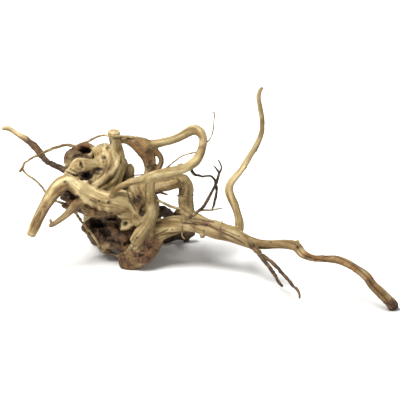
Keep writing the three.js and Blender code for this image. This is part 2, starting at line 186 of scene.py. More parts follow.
# A closed limb as a surface of length and angle: a fluted circle carried along the spindle, with
# quarter-round ends that close on one point each.
def limbSurface(rings, start, sides):
    out = tips["reach"] * np.sin(tips["angles"])[:, None]
    narrow = np.cos(tips["angles"])
    centres, radii, direction = rings["centres"], rings["radii"], rings["direction"]
    spread = np.pad(np.arange(len(radii)), len(narrow), mode="edge")
    centres = np.vstack([
        centres[0] - direction[0] * radii[0] * out,
        centres,
        centres[-1] + direction[-1] * radii[-1] * out[::-1],
    ])
    radii = np.hstack([radii[0] * narrow, radii, radii[-1] * narrow[::-1]])
    angle = np.linspace(0, 2 * np.pi, sides, endpoint=False)
    reach = radii[:, None] * fluted(angle[None], rings["along"][spread][:, None] * 1000, start)
    around = np.cos(angle)[None, :, None] * rings["side"][spread][:, None]
    around = around + np.sin(angle)[None, :, None] * rings["front"][spread][:, None]
    grid = centres[:, None] + reach[..., None] * around
    points = np.vstack([grid[0].mean(axis=0), grid[1:-1].reshape(-1, 3), grid[-1].mean(axis=0)])
    rows = len(grid) - 2
    edge = np.arange(sides) + 1
    turned = (np.arange(sides) + 1) % sides + 1
    low = (np.arange(rows - 1)[:, None] * sides + edge).ravel()
    ahead = (np.arange(rows - 1)[:, None] * sides + turned).ravel()
    quads = np.stack([low, low + sides, ahead + sides, ahead], axis=1)
    startCap = np.stack([np.zeros(sides, int), edge, turned], axis=1)
    lift = (rows - 1) * sides
    endCap = np.stack([turned + lift, edge + lift, np.full(sides, len(points) - 1)], axis=1)
    return points, quads, np.vstack([startCap, endCap])


def placed(name, data):
    made = bpy.data.objects.new(name, data)
    bpy.context.scene.collection.objects.link(made)
    return made


# Surfaces of points, quads and triangles joined into one mesh.
def meshFrom(name, parts):
    before = np.cumsum([0] + [len(part[0]) for part in parts])
    points = np.vstack([part[0] for part in parts])
    quads = np.vstack([part[1] + lift for part, lift in zip(parts, before)])
    triangles = np.vstack([part[2] + lift for part, lift in zip(parts, before)])
    mesh = bpy.data.meshes.new(name)
    mesh.vertices.add(len(points))
    mesh.vertices.foreach_set("co", points.astype(np.float32).ravel())
    corners = np.hstack([quads.ravel(), triangles.ravel()])
    starts = np.hstack([np.arange(len(quads)) * 4, len(quads) * 4 + np.arange(len(triangles)) * 3])
    mesh.loops.add(len(corners))
    mesh.loops.foreach_set("vertex_index", corners.astype(np.int32))
    mesh.polygons.add(len(starts))
    mesh.polygons.foreach_set("loop_start", starts.astype(np.int32))
    mesh.update(calc_edges=True)
    mesh.validate()
    return placed(name, mesh)


def readOff(items, key, width, kind=np.float32):
    values = np.empty(len(items) * width, kind)
    items.foreach_get(key, values)
    return values.reshape(-1, width)


def normalsOf(mesh):
    return readOff(mesh.vertex_normals, "vector", 3).astype(float)


def moveVertices(mesh, points):
    mesh.vertices.foreach_set("co", points.astype(np.float32).ravel())
    mesh.update()


# Each vertex's neighbours averaged: the sum of the values at the far ends of its edges over their count.
def neighbourMean(values, edges):
    count = len(values)
    near = np.bincount(edges.ravel(), minlength=count)
    here, there = edges.T
    sums = [
        np.bincount(here, column[there], count) + np.bincount(there, column[here], count)
        for column in values.reshape(count, -1).T
    ]
    return (np.stack(sums, axis=1) / np.maximum(near, 1)[:, None]).reshape(values.shape)


def softened(points, edges, rounds):
    for _ in range(rounds):
        points = neighbourMean(points, edges)
    return points


# Relaxing without shrinking: a step towards the neighbours' mean, then a slightly longer one away.
def relaxed(points, edges, rounds, towards=0.5, away=0.52):
    for _ in range(rounds):
        points = points + towards * (neighbourMean(points, edges) - points)
        points = points - away * (neighbourMean(points, edges) - points)
    return points


# Which vertices a limb holds, in metres: those in its box widened by reach and less than furthest from
# its surface. Its say in them fades by the exponential of that distance over fade.
holding = {"reach": 0.004, "furthest": 0.0025, "fade": 0.0005, "least": 1e-6, "batch": 4000}


# Each vertex's place on the limbs of its piece. A limb counts by how near its own surface is, so the
# grain of one limb fades into the next where they have grown together.
def placeOnLimbs(points, limbs):
    places = []
    for limb in limbs.values():
        rings = limb["rings"]
        reach = rings["radii"].max() + holding["reach"]
        low = rings["centres"].min(axis=0) - reach
        high = rings["centres"].max(axis=0) + reach
        near = np.flatnonzero(((points > low) & (points < high)).all(axis=1))
        if len(near) == 0:
            continue
        nearest = np.empty(len(near), int)
        for start in range(0, len(near), holding["batch"]):
            some = slice(start, start + holding["batch"])
            found = points[near[some]]
            squared = (found ** 2).sum(axis=1)[:, None] + (rings["centres"] ** 2).sum(axis=1)
            squared = squared - 2 * found @ rings["centres"].T
            nearest[some] = (np.maximum(squared, 0) ** 0.5 - rings["radii"]).argmin(axis=1)
        offset = points[near] - rings["centres"][nearest]
        forward = (offset * rings["direction"][nearest]).sum(axis=1)
        beyond = np.maximum(np.abs(forward) - rings["radii"][nearest] * tips["reach"], 0)
        flat = offset - forward[:, None] * rings["direction"][nearest]
        radial = np.linalg.norm(flat, axis=1) + 1e-9
        gap = np.hypot(radial, beyond) - rings["radii"][nearest]
        kept = gap < holding["furthest"]
        sideways = (flat * rings["side"][nearest]).sum(axis=1)
        angle = np.arctan2((flat * rings["front"][nearest]).sum(axis=1), sideways)
        places.append({
            "look": limb["look"],
            "who": near[kept],
            "weight": np.exp(-np.maximum(gap[kept], 0) / holding["fade"]) + holding["least"],
            "along": (rings["along"][nearest] + forward)[kept] * 1000,
            "angle": angle[kept],
            "radius": radial[kept] * 1000,
        })
    return places


# Bare wood. Cells of noise are in mm along the grain and twice across it, depth is a share of a limb's
# radius between least and most in mm, and the rest are shares of that depth or of a noise. In the noise
# each limb lies limbApart mm from the last.
woodForm = {
    "depth": 0.085,
    "least": 0.12,
    "most": 0.85,
    "grain": (((24, 3.6, 3.6), 0.6), ((11, 1.5, 1.5), 0.3)),
    "crack": 0.95,
    "crackCell": (26, 3.1, 3.1),
    "crackWidth": 0.26,
    "crackedCell": (34, 8, 8),
    "cracked": (-0.05, 0.35),
    "wander": (((40, 60, 60), 0.5),),
    "bend": (((9, 6, 6), 1.2),),
    "limbApart": 170,
}


# How far bare wood stands proud at a place on a limb, in millimetres: long ridges, fine streaks, drying
# cracks along the grain, the valleys between twisted strands, and wrinkles across it.
def woodRelief(place, seed):
    look = place["look"]
    turned = place["angle"] + place["along"] / look.get("twist", 60)
    across = (place["radius"] * np.cos(turned), place["radius"] * np.sin(turned))
    unbent = np.stack([place["along"], *across], axis=1)
    depth = np.clip(woodForm["depth"] * place["radius"] + woodForm["least"], 0, woodForm["most"])
    depth = depth * look.get("grain", 1)
    crack = 1 - np.abs(noise(unbent / woodForm["crackCell"], seed + 2)) / woodForm["crackWidth"]
    where = smoothShare(noise(unbent / woodForm["crackedCell"], seed + 3), *woodForm["cracked"])
    grain = layered(unbent, woodForm["grain"], seed)
    height = depth * (grain - woodForm["crack"] * np.clip(crack, 0, 1) * where)
    if "strands" in look:
        count, valley = look["strands"]
        wander = layered(unbent, woodForm["wander"], seed + 4)
        height = height - valley * (1 - np.abs(np.sin(count * turned / 2 + wander))) ** 5
    if "wrinkles" in look:
        rise, spacing = look["wrinkles"]
        bend = layered(unbent, woodForm["bend"], seed + 5)
        height = height + rise * np.sin(2 * np.pi * place["along"] / spacing + 2 * bend)
    return height, unbent


# Bark, in mm: how far each form stands out or lies in, and the cells of noise that it is made of.
barkForm = {
    "bend": 2,
    "bendCell": 5,
    "rise": 0.35,
    "lump": 1.3,
    "lumpCell": 9,
    "clod": 0.8,
    "clodCell": (3.6, 3.6, 4.6),
    "pit": 1.8,
    "pitCell": (5, 5, 7),
    "pitRag": ((2.2, 0.3),),
    "pitted": (0.25, 0.75),
    "fissure": 0.8,
    "fissureCell": (6, 6, 9),
    "fissureWidth": 0.09,
    "fissured": (-0.1, 0.4),
    "crumb": 0.3,
    "crumbs": ((1.9, 1), (1.05, 0.5)),
}


# Bark and decayed wood: broad lumps with clods on them, crumbs, ragged pits where a noise is high, and
# short fissures where another passes nought.
def barkRelief(points, seed):
    shift = np.stack([noise(points / barkForm["bendCell"], seed + i) for i in range(3)], axis=1)
    bent = points + barkForm["bend"] * shift
    lumps = noise(bent / barkForm["lumpCell"], seed + 3)
    clods = noise(bent / barkForm["clodCell"], seed + 4)
    ragged = noise(bent / barkForm["pitCell"], seed + 5) + layered(points, barkForm["pitRag"], seed + 8)
    fissure = np.abs(noise(bent / barkForm["fissureCell"], seed + 9)) / barkForm["fissureWidth"]
    rise = barkForm["rise"] + barkForm["lump"] * lumps + barkForm["clod"] * clods
    rise = rise - barkForm["pit"] * smoothShare(ragged, *barkForm["pitted"])
    rise = rise + barkForm["crumb"] * layered(points, barkForm["crumbs"], seed + 6)
    return rise - barkForm["fissure"] * np.clip(1 - fissure, 0, 1) * smoothShare(clods, *barkForm["fissured"])


# Whether a vertex is at the front, as a share that falls with how far it lies behind the front-most one
# in its own small square of the front view.
def frontShare(viewed, full, none, side=1.3):
    square = np.floor(viewed[:, :2] / side).astype(int)
    square -= square.min(axis=0)
    depth = np.full(square.max(axis=0) + 1, -1e3)
    np.maximum.at(depth, (square[:, 0], square[:, 1]), viewed[:, 2])
    return 1 - smoothShare(depth[square[:, 0], square[:, 1]] - viewed[:, 2], full, none)


def distanceTo(points, centre):
    return np.linalg.norm(points - centre, axis=1) * 1000


# How a spot lies on the front view: it is seated on the front-most vertex no further off than near, or
# than the nearest one by slack, in mm. Its edges, and how ragged they are, are shares of its radius.
spotForm = {
    "near": 1.2,
    "slack": 0.3,
    "rag": 0.35,
    "ragCell": 0.4,
    "ragCellLeast": 1.2,
    "stainEdge": (0.55, 1.25),
    "meltEdge": (0.6, 1.3),
}


# One inside a spot, falling to nothing between its two edges.
def fading(distance, radius, edge):
    return 1 - smoothShare(distance, edge[0] * radius, edge[1] * radius)


# The front-most vertex at a place on the front view, and how far off it the nearest vertex is.
def surfaceAt(viewed, points, across, down):
    off = np.hypot(viewed[:, 0] - across, viewed[:, 1] - down)
    there = np.where(off < max(spotForm["near"], off.min() + spotForm["slack"]), viewed[:, 2], -1e3)
    return points[there.argmax()], off.min()


# A stain's share at each vertex, with a ragged edge.
def spotShare(points, viewed, spot, seed):
    across, down, radius = spot[:3]
    centre, off = surfaceAt(viewed, points, across, down)
    if off > radius:
        return np.zeros(len(points))
    cell = max(radius * spotForm["ragCell"], spotForm["ragCellLeast"])
    ragged = distanceTo(points, centre) + spotForm["rag"] * radius * noise(points * 1000 / cell, seed)
    return fading(ragged, radius, spotForm["stainEdge"])


# How far along a line on the front view each vertex lies, as a share of it, and how far off the line.
def besideLine(viewed, start, end):
    run = end - start
    share = np.clip(((viewed[:, :2] - start) @ run) / (run @ run), 0, 1)
    return share, np.linalg.norm(viewed[:, :2] - start - share[:, None] * run, axis=1)


# How the grown-together surface is worked: rounds of softening, and in mm how far behind the front-most
# surface a form still counts in full and where it ends.
working = {
    "firstRounds": 6,
    "meltRounds": 70,
    "hollowRounds": 5,
    "lastRounds": 3,
    "cordFront": (2, 5),
    "cordRound": 0.8,
    "hollowFront": (3, 7),
    "slitFront": (3, 6),
    "hollowRag": ((3.2, 0.3),),
    "hollowRim": (0.35, 1.15),
    "fullyPushed": 3,
}


# Limbs that grew into one another: near each spot the surface moves towards a much softened copy of
# itself. A spot that says how near it is counts there, and any other on the front-most surface.
def melted(points, edges):
    viewed = onFrontView(points)
    share = np.zeros(len(points))
    for across, down, radius, strength, *near in spots["melt"]:
        centre, off = surfaceAt(viewed, points, across, down)
        if near:
            centre, off = standing([[across, down, near[0]]])[0], 0
        if off < radius:
            inside = fading(distanceTo(points, centre), radius, spotForm["meltEdge"])
            share = np.maximum(share, strength * inside)
    return points + share[:, None] * (softened(points, edges, working["meltRounds"]) - points)


# Hollows: near each spot the front surface is pushed away from the eye, with a ragged rim.
def hollowed(points, seed):
    viewed = onFrontView(points)
    front = frontShare(viewed, *working["hollowFront"])
    pushed = np.zeros(len(points))
    for number, (across, down, wide, tall, depth) in enumerate(spots["hollow"]):
        off = np.hypot((viewed[:, 0] - across) / wide, (viewed[:, 1] - down) / tall)
        off = off + layered(points * 1000, working["hollowRag"], seed + number)
        pushed = np.maximum(pushed, depth * (1 - smoothShare(off, *working["hollowRim"])) * front)
    return points - pushed[:, None] / 1000 * towardsEye, np.clip(pushed / working["fullyPushed"], 0, 1)


# Cords and folds that stand on a grown-together surface: a rounded ridge along each line of places.
def corded(viewed):
    front = frontShare(viewed, *working["cordFront"])
    height = np.zeros(len(viewed))
    for line in marks["cords"]:
        line = np.array(line, dtype=float)
        for start, end in zip(line[:-1], line[1:]):
            share, off = besideLine(viewed, start[:2], end[:2])
            wide, rise = (start[2:] + share[:, None] * (end - start)[2:]).T
            profile = np.clip(1 - (off / wide) ** 2, 0, 1) ** working["cordRound"]
            height = np.maximum(height, rise * profile * front)
    return height


# The limbs' joined surface before its relief: relaxed, melted together, with cords raised on it and
# hollows pushed into it. Also how far each vertex was pushed in, as a share.
def grownTogether(mesh, edges, seed):
    points = relaxed(readOff(mesh.vertices, "co", 3).astype(float), edges, working["firstRounds"])
    points = melted(points, edges)
    moveVertices(mesh, points)
    points = points + normalsOf(mesh) * corded(onFrontView(points))[:, None] / 1000
    points = relaxed(points, edges, working["lastRounds"])
    points, pushed = hollowed(points, seed)
    soft = softened(points, edges, working["hollowRounds"])
    return relaxed(points + pushed[:, None] * (soft - points), edges, working["lastRounds"]), pushed


# Relief, radius and stains of the limbs that hold each vertex, some of the stains painted shade, as a
# mean by their weights, and the place along and across the grain on the limb that holds it most.
def blendedOver(points, limbs, seed):
    weight = np.full(len(points), 1e-9)
    blend = {key: np.zeros(len(points)) for key in ("height", "radius", "bark", "rust", "dullAndShade", "dirtAndShade")}
    grain = np.zeros((len(points), 3))
    heaviest = np.zeros(len(points))
    for order, place in enumerate(placeOnLimbs(points, limbs)):
        who = place["who"]
        raised, unbent = woodRelief(place, seed + 10 * order)
        found = {"height": raised, "radius": place["radius"]}
        weight[who] += place["weight"]
        for key in blend:
            blend[key][who] += place["weight"] * found.get(key, place["look"].get(key, 0))
        wins = place["weight"] > heaviest[who]
        heaviest[who[wins]] = place["weight"][wins]
        grain[who[wins]] = unbent[wins] + (order * woodForm["limbApart"], 0, 0)
    return {key: values / weight for key, values in blend.items()}, grain


# Knots as a rim round a pit, seen no further off than reach, and slits as a groove along a line. Both
# are darkened in the pit and groove: dirt together with painted shade.
knotForm = {"reach": 1.5, "rimWidth": 0.45, "pitWidth": 0.6, "dirtAndShadeWidth": 0.75, "slitDirtAndShade": 0.9}


def marked(points, viewed, height, dirtAndShade):
    for across, down, radius, rim, pit in marks["knots"]:
        centre, off = surfaceAt(viewed, points, across, down)
        if off > knotForm["reach"]:
            continue
        distance = distanceTo(points, centre) / radius
        height = height + rim * np.exp(-((distance - 1) / knotForm["rimWidth"]) ** 2)
        height = height - pit * np.exp(-(distance / knotForm["pitWidth"]) ** 2)
        dirtAndShade = np.maximum(dirtAndShade, min(pit, 1) * np.exp(-(distance / knotForm["dirtAndShadeWidth"]) ** 2))
    front = frontShare(viewed, *working["slitFront"])
    for *ends, width, depth in marks["slits"]:
        share, off = besideLine(viewed, np.array(ends[:2]), np.array(ends[2:]))
        inside = np.exp(-(off / width) ** 2) * front
        height = height - depth * inside
        dirtAndShade = np.maximum(dirtAndShade, knotForm["slitDirtAndShade"] * inside)
    return height, dirtAndShade


# Where a surface lies deeper or stands prouder, in mm, than its mean over so many rounds of neighbours:
# both grow with the rounds, and crests count only up to crestMost rounds.
cupping = {"rounds": (3, 12, 30), "low": 0.02, "high": 0.16, "power": 0.8, "crestMost": 20}


# The hollow share paints shade, with dirt, and the crest share paints a highlight, with wear.
def hollowAndCrest(points, normals, edges):
    smooth = points
    hollow = np.zeros(len(points))
    crest = np.zeros(len(points))
    for rounds in cupping["rounds"]:
        smooth = softened(smooth, edges, rounds)
        sunk = ((smooth - points) * normals).sum(axis=1) * 1000
        low = cupping["low"] * rounds ** cupping["power"]
        high = cupping["high"] * rounds ** cupping["power"]
        hollow = np.maximum(hollow, smoothShare(sunk, low, high))
        if rounds < cupping["crestMost"]:
            crest = np.maximum(crest, smoothShare(-sunk, low, high))
    return hollow, crest


# How stains, painted shade and relief spread over a body: sizes in mm, the rest as shares.
weatheringAndShade = {
    # Painted shade: faces that look down are darkened, more the further their normal points down.
    "under": (-0.3, 0.65),  # how far a face looks down, as its normal's downward part
    "undersideShade": 0.9,
    "mottle": ((8, 1), (3.4, 0.5), (1.4, 0.3)),
    "ragged": {"bark": 0.34, "rust": 0.3, "dullAndShade": 0.25, "dirtAndShade": 0.2},
    "least": 0.08,
    "pushedBarkAndShade": 0.7,
    "barkEdge": (0.2, 0.85),
    "barkSmooths": 0.7,
    "barkFullAt": 7,
    "barkLeast": 0.15,
    "lumps": ((10.5, 0.5), (5, 0.25)),
    "boxGap": 0.0001,  # metres that the dressed root stays inside the solid's box
}


# The look of a body: stains and relief of its limbs, with the spots and marks of the front view over
# them, worked into its shape and kept as shares for the material, with painted shade and highlight
# from how it faces and curves.
def finishBody(mesh, limbs, seed):
    edges = readOff(mesh.edges, "vertices", 2, np.int32)
    points, pushed = grownTogether(mesh, edges, seed + 30)
    moveVertices(mesh, points)
    normals = normalsOf(mesh)
    viewed = onFrontView(points)
    tints, grain = blendedOver(points, limbs, seed)
    places = points * 1000
    mottle = layered(places, weatheringAndShade["mottle"], seed + 7)
    for tint, ragged in weatheringAndShade["ragged"].items():
        for number, spot in enumerate(spots[tint]):
            tints[tint] += spot[3] * spotShare(points, viewed, spot, seed + number)
        # Painted shade: the pushed-in hollows also take the dark bark colour, and with it bark relief.
        if tint == "bark":
            tints[tint] = tints[tint] + weatheringAndShade["pushedBarkAndShade"] * pushed
        tints[tint] = tints[tint] + ragged * mottle * (tints[tint] > weatheringAndShade["least"])
    bark = smoothShare(tints["bark"], *weatheringAndShade["barkEdge"])
    # Painted shade on the undersides, more where a face looks further down.
    under = weatheringAndShade["undersideShade"] * smoothShare(-normals[:, 2], *weatheringAndShade["under"])
    lumps = layered(places, weatheringAndShade["lumps"], seed + 10)
    thick = np.clip(tints["radius"] / weatheringAndShade["barkFullAt"], weatheringAndShade["barkLeast"], 1)
    height = (1 - weatheringAndShade["barkSmooths"] * bark) * tints["height"]
    height = height + bark * thick * barkRelief(places, seed + 20) + lumps * thick
    # Dirt, and painted shade in the pushed-in hollows, knot pits and slits.
    height, dirtAndShade = marked(points, viewed, height, np.clip(np.maximum(pushed, tints["dirtAndShade"]), 0, 1))
    points = points + normals * height[:, None] / 1000
    gap = weatheringAndShade["boxGap"]
    points = np.clip(points, np.array(cadBox[0]) + gap, np.array(cadBox[1]) - gap)
    moveVertices(mesh, points)
    # Painted shade in the hollows and painted highlight on the crests, from how the surface curves.
    hollow, crest = hollowAndCrest(points, normalsOf(mesh), edges)
    giveAttributes(mesh, {
        "bark": bark,
        "rust": np.clip(tints["rust"], 0, 1),
        "hollow": np.maximum(hollow, dirtAndShade),
        "crest": crest,
        # The dull share: the limbs' and spots' darker tone together with the undersides' painted shade.
        "dullAndShade": np.clip(np.maximum(tints["dullAndShade"], under), 0, 1),
    }, grain)


def giveAttributes(mesh, shares, grain):
    for name, values in shares.items():
        layer = mesh.attributes.new(name, "FLOAT", "POINT")
        layer.data.foreach_set("value", values.astype(np.float32))
    layer = mesh.attributes.new("grain", "FLOAT_VECTOR", "POINT")
    layer.data.foreach_set("vector", grain.astype(np.float32).ravel())
    mesh.polygons.foreach_set("use_smooth", np.ones(len(mesh.polygons), bool))
    mesh.update()


# Which shell each vertex is in, as the lowest vertex number there: over and over, both ends of each
# edge and the vertex that they point to take the lower number, and every number is looked up again.
def shellOf(edges, count):
    label = np.arange(count)
    while True:
        lower = label.copy()
        least = label[edges].min(axis=1)
        for end in edges.T:
            np.minimum.at(lower, label[end], least)
            np.minimum.at(lower, end, least)
        lower = lower[lower]
        if (lower == label).all():
            return label
        label = lower


# Limbs into one body: the step between rings and each body's cell size in mm, each body's seed, the
# sides of a limb for each mm of radius with their least and most, and the vertices of a crumb.
fusing = {
    "ringStep": 1.6,
    "rightCell": 0.8,
    "rightSeed": 11,
    "crownCell": 0.92,
    "crownSeed": 12,
    "sides": 4,
    "sidesRange": (14, 40),
    "crumb": 400,
}


# Crumbs of a few cells that the remesh leaves loose are taken out.
def dropCrumbs(mesh):
    label = shellOf(readOff(mesh.edges, "vertices", 2, np.int32), len(mesh.vertices))
    sizes = np.bincount(label, minlength=len(label))
    crumbs = np.flatnonzero(sizes[label] < fusing["crumb"])
    work = bmesh.new()
    work.from_mesh(mesh)
    work.verts.ensure_lookup_table()
    bmesh.ops.delete(work, geom=[work.verts[i] for i in crumbs], context="VERTS")
    work.to_mesh(mesh)
    work.free()


# The angle that a limb's flutes start at, taken from where it starts, so that no two limbs are alike.
def fluteStart(stations):
    return stations[0][0] + stations[0][1]


# One body out of many limbs: their surfaces are remeshed together at one fine cell size.
def fusedBody(name, group, looks, cell, seed):
    limbs = {}
    parts = []
    for limb, stations in group.items():
        rings = spindle(stations, fusing["ringStep"] / 1000)
        limbs[limb] = {"rings": rings, "look": looks.get(limb, {})}
        sides = int(np.clip(rings["radii"].max() * 1000 * fusing["sides"], *fusing["sidesRange"]))
        parts.append(limbSurface(rings, fluteStart(stations), sides))
    raw = meshFrom(name + "_raw", parts)
    remesh = raw.modifiers.new("Fuse", "REMESH")
    remesh.mode = "VOXEL"
    remesh.voxel_size = cell / 1000
    remesh.adaptivity = 0
    seen = raw.evaluated_get(bpy.context.evaluated_depsgraph_get())
    mesh = bpy.data.meshes.new_from_object(seen)
    mesh.name = name
    dropCrumbs(mesh)
    piece = placed(name, mesh)
    bpy.data.objects.remove(raw)
    finishBody(mesh, limbs, seed)
    print("stage:", name, "with", len(mesh.vertices), "vertices")
    return piece


# Limbs are lists of stations: [across, down, near, radius] in mm on the front view. These reach out to
# the right, with the foot that carries them and the dark roots behind.
rightLimbs = {
    "trunk": [
        [141, 250, 6, 13], [150, 239, 10, 12.5], [160, 229.5, 15, 10.8], [172, 225.5, 19, 8.6],
        [186, 224.5, 22, 7.6], [203, 226.5, 26, 8], [220, 230.5, 30, 7.6], [236, 236, 35, 7],
        [248, 241.5, 41, 5.8], [259, 244, 46, 4.8], [274, 244.3, 53, 4.5], [288, 244.6, 60, 4.5],
        [297, 247, 65, 4.8], [303, 254, 69, 4.4], [312, 258, 73, 3.7], [324, 258.8, 78, 3.8],
        [336, 259.8, 83, 4], [347, 263.5, 87, 4.1], [358, 270, 91, 4.5], [367, 277.5, 94, 4.6],
        [373.5, 286, 95, 4.5], [382, 293.5, 92, 5.1], [390, 301, 86, 5], [394.5, 307, 81.5, 4.4],
    ],
    "upperStrand": [
        [184, 212, 14, 6], [192, 216, 19, 5.5], [203, 220.5, 25, 4.6], [216, 226, 30, 4.6],
        [230, 230, 34, 4.4], [243, 237, 38, 4],
    ],
    "upright": [
        [239, 234, 30, 4.2], [239.3, 227, 30, 4.9], [239, 221, 31, 5.1], [237.6, 213.5, 32, 4.8],
        [234.5, 204.5, 33, 4.5], [231, 197, 34, 4.1], [229, 190, 35, 3.9], [230.5, 183.5, 36, 3.7],
        [235.5, 177, 38, 3.3], [241, 170.5, 40, 3], [245.5, 163.5, 41, 3], [250, 156, 42, 2.7],
        [254.5, 148.5, 43, 2.9], [258.5, 141, 44, 2.6], [261.5, 132.5, 46, 2.6], [262.2, 124.5, 48, 2.4],
        [261.7, 117, 49, 2.3], [260.3, 109, 51, 2.2], [259, 101, 53, 2], [258.6, 95.5, 54, 2.2],
        [260.3, 90.3, 56, 1.9], [262.2, 87.9, 57, 1.5],
    ],
    "loop": [
        [146, 144, 18, 4.2], [154, 144, 20, 4.4], [163, 142, 23, 4.6], [173, 139.5, 27, 4.6],
        [182, 135.5, 31, 4.6], [189, 131.5, 34, 4.8], [195, 129.5, 37, 5], [200.5, 132.5, 39, 4.8],
        [203.3, 139, 41, 4.1], [202.5, 147, 43, 4], [199.5, 155, 45, 4.4], [194, 162.5, 46, 4.6],
        [185, 168, 47, 4.3], [174, 171, 48, 4.5], [163, 173.5, 48, 4.8], [152, 177, 48, 5.2],
        [141, 180, 48, 4.5], [130, 182, 47, 4.3], [121, 186, 46, 4.4], [114, 191.5, 44, 4.2],
        [110.5, 197.5, 42, 3.4], [108, 203, 40, 2.8],
    ],
    "strut": [
        [150, 181, 46, 5.2], [149.8, 191, 42, 5.2], [151, 202, 38, 5.4], [152, 212, 33, 6.2],
        [149.5, 221, 28, 7.5], [145, 229, 24, 7.5], [140, 236, 20, 7.2], [136, 241.5, 17, 6.2],
    ],
    "arch": [
        [113, 141, 20, 5], [121, 139.5, 20, 4.6], [130, 141, 21, 5.2], [138, 144.5, 21, 6.5],
        [145, 150.5, 19, 7.2], [149, 159, 16, 6.2], [150, 168, 13, 5.6], [149, 178, 10, 6],
        [146, 190, 6, 7],
    ],
    "archStrand": [
        [141, 139.5, 23, 3], [147, 141.5, 22, 3.2], [152, 146.5, 21, 3.2], [157, 152, 19, 3],
        [161.3, 158.5, 17, 2.8], [161, 164, 15, 2.9], [157.5, 169, 13, 3.2], [153, 177, 11, 3.5],
    ],
    "bentLimb": [
        [148, 190, 14, 6.5], [158, 186.5, 18, 5.8], [167, 184.5, 17, 5.8], [175, 182, 14, 6.3],
        [182, 181.5, 10, 7], [185.8, 188, 8, 7.6], [185.8, 195, 8, 7.2], [186, 203, 10, 6.6],
        [187, 210, 13, 6.8], [190, 217, 17, 7], [196, 221, 21, 6],
    ],
    "foot": [
        [122.8, 260.6, -1, 8], [128, 259.8, 0, 9.6], [133, 258.6, 1, 10.6], [139, 254, 5, 12.5],
        [147, 247.3, 7, 13], [150, 240, 10, 12.5],
    ],
    "footHeel": [[143, 254, 3, 9], [150.5, 249.5, 5, 9.3]],
    "darkRoot": [
        [148, 208, -2, 8], [157, 211, -6, 6], [164, 211, -8, 5.2], [168.5, 215.5, -14, 4.8],
        [172, 222, -26, 5.5], [174, 229, -38, 5.5], [176, 234.5, -49, 5],
    ],
    "darkRootLying": [
        [163.5, 240.3, -52, 4], [169, 237.5, -50, 4.2], [176, 235.3, -50, 4.8], [184, 235.4, -50, 4.6],
        [190, 234.5, -50, 3.4], [194, 233.6, -50, 2],
    ],
    "darkToe": [[185, 236, -50, 3.6], [186.5, 240.4, -54.5, 2.7]],
    "smallKnots": [[176, 214.5, 4, 3.2], [179, 211.5, 12, 3], [185, 214, 16, 4]],
    "loopKnot": [[178.5, 167, 45, 2.6], [182, 165, 45, 2.3]],
    "twigRoot": [
        [222, 229.5, 34, 4], [232, 232.5, 38, 4.3], [241, 236.5, 42, 4.2], [249, 243, 46, 3.8],
        [255, 249, 50, 3.2], [260, 254, 53, 2.5],
    ],
    "elbowSpur": [[294.5, 245.5, 63, 3.6], [298.6, 240.8, 63, 1.5]],
    "trunkStub": [[200, 228, 27, 3], [202, 234, 29, 2.3], [202.5, 237, 29, 2.1]],
    "trunkSliver": [[215, 224.5, 33, 1.8], [223, 221.3, 33, 0.7]],
}

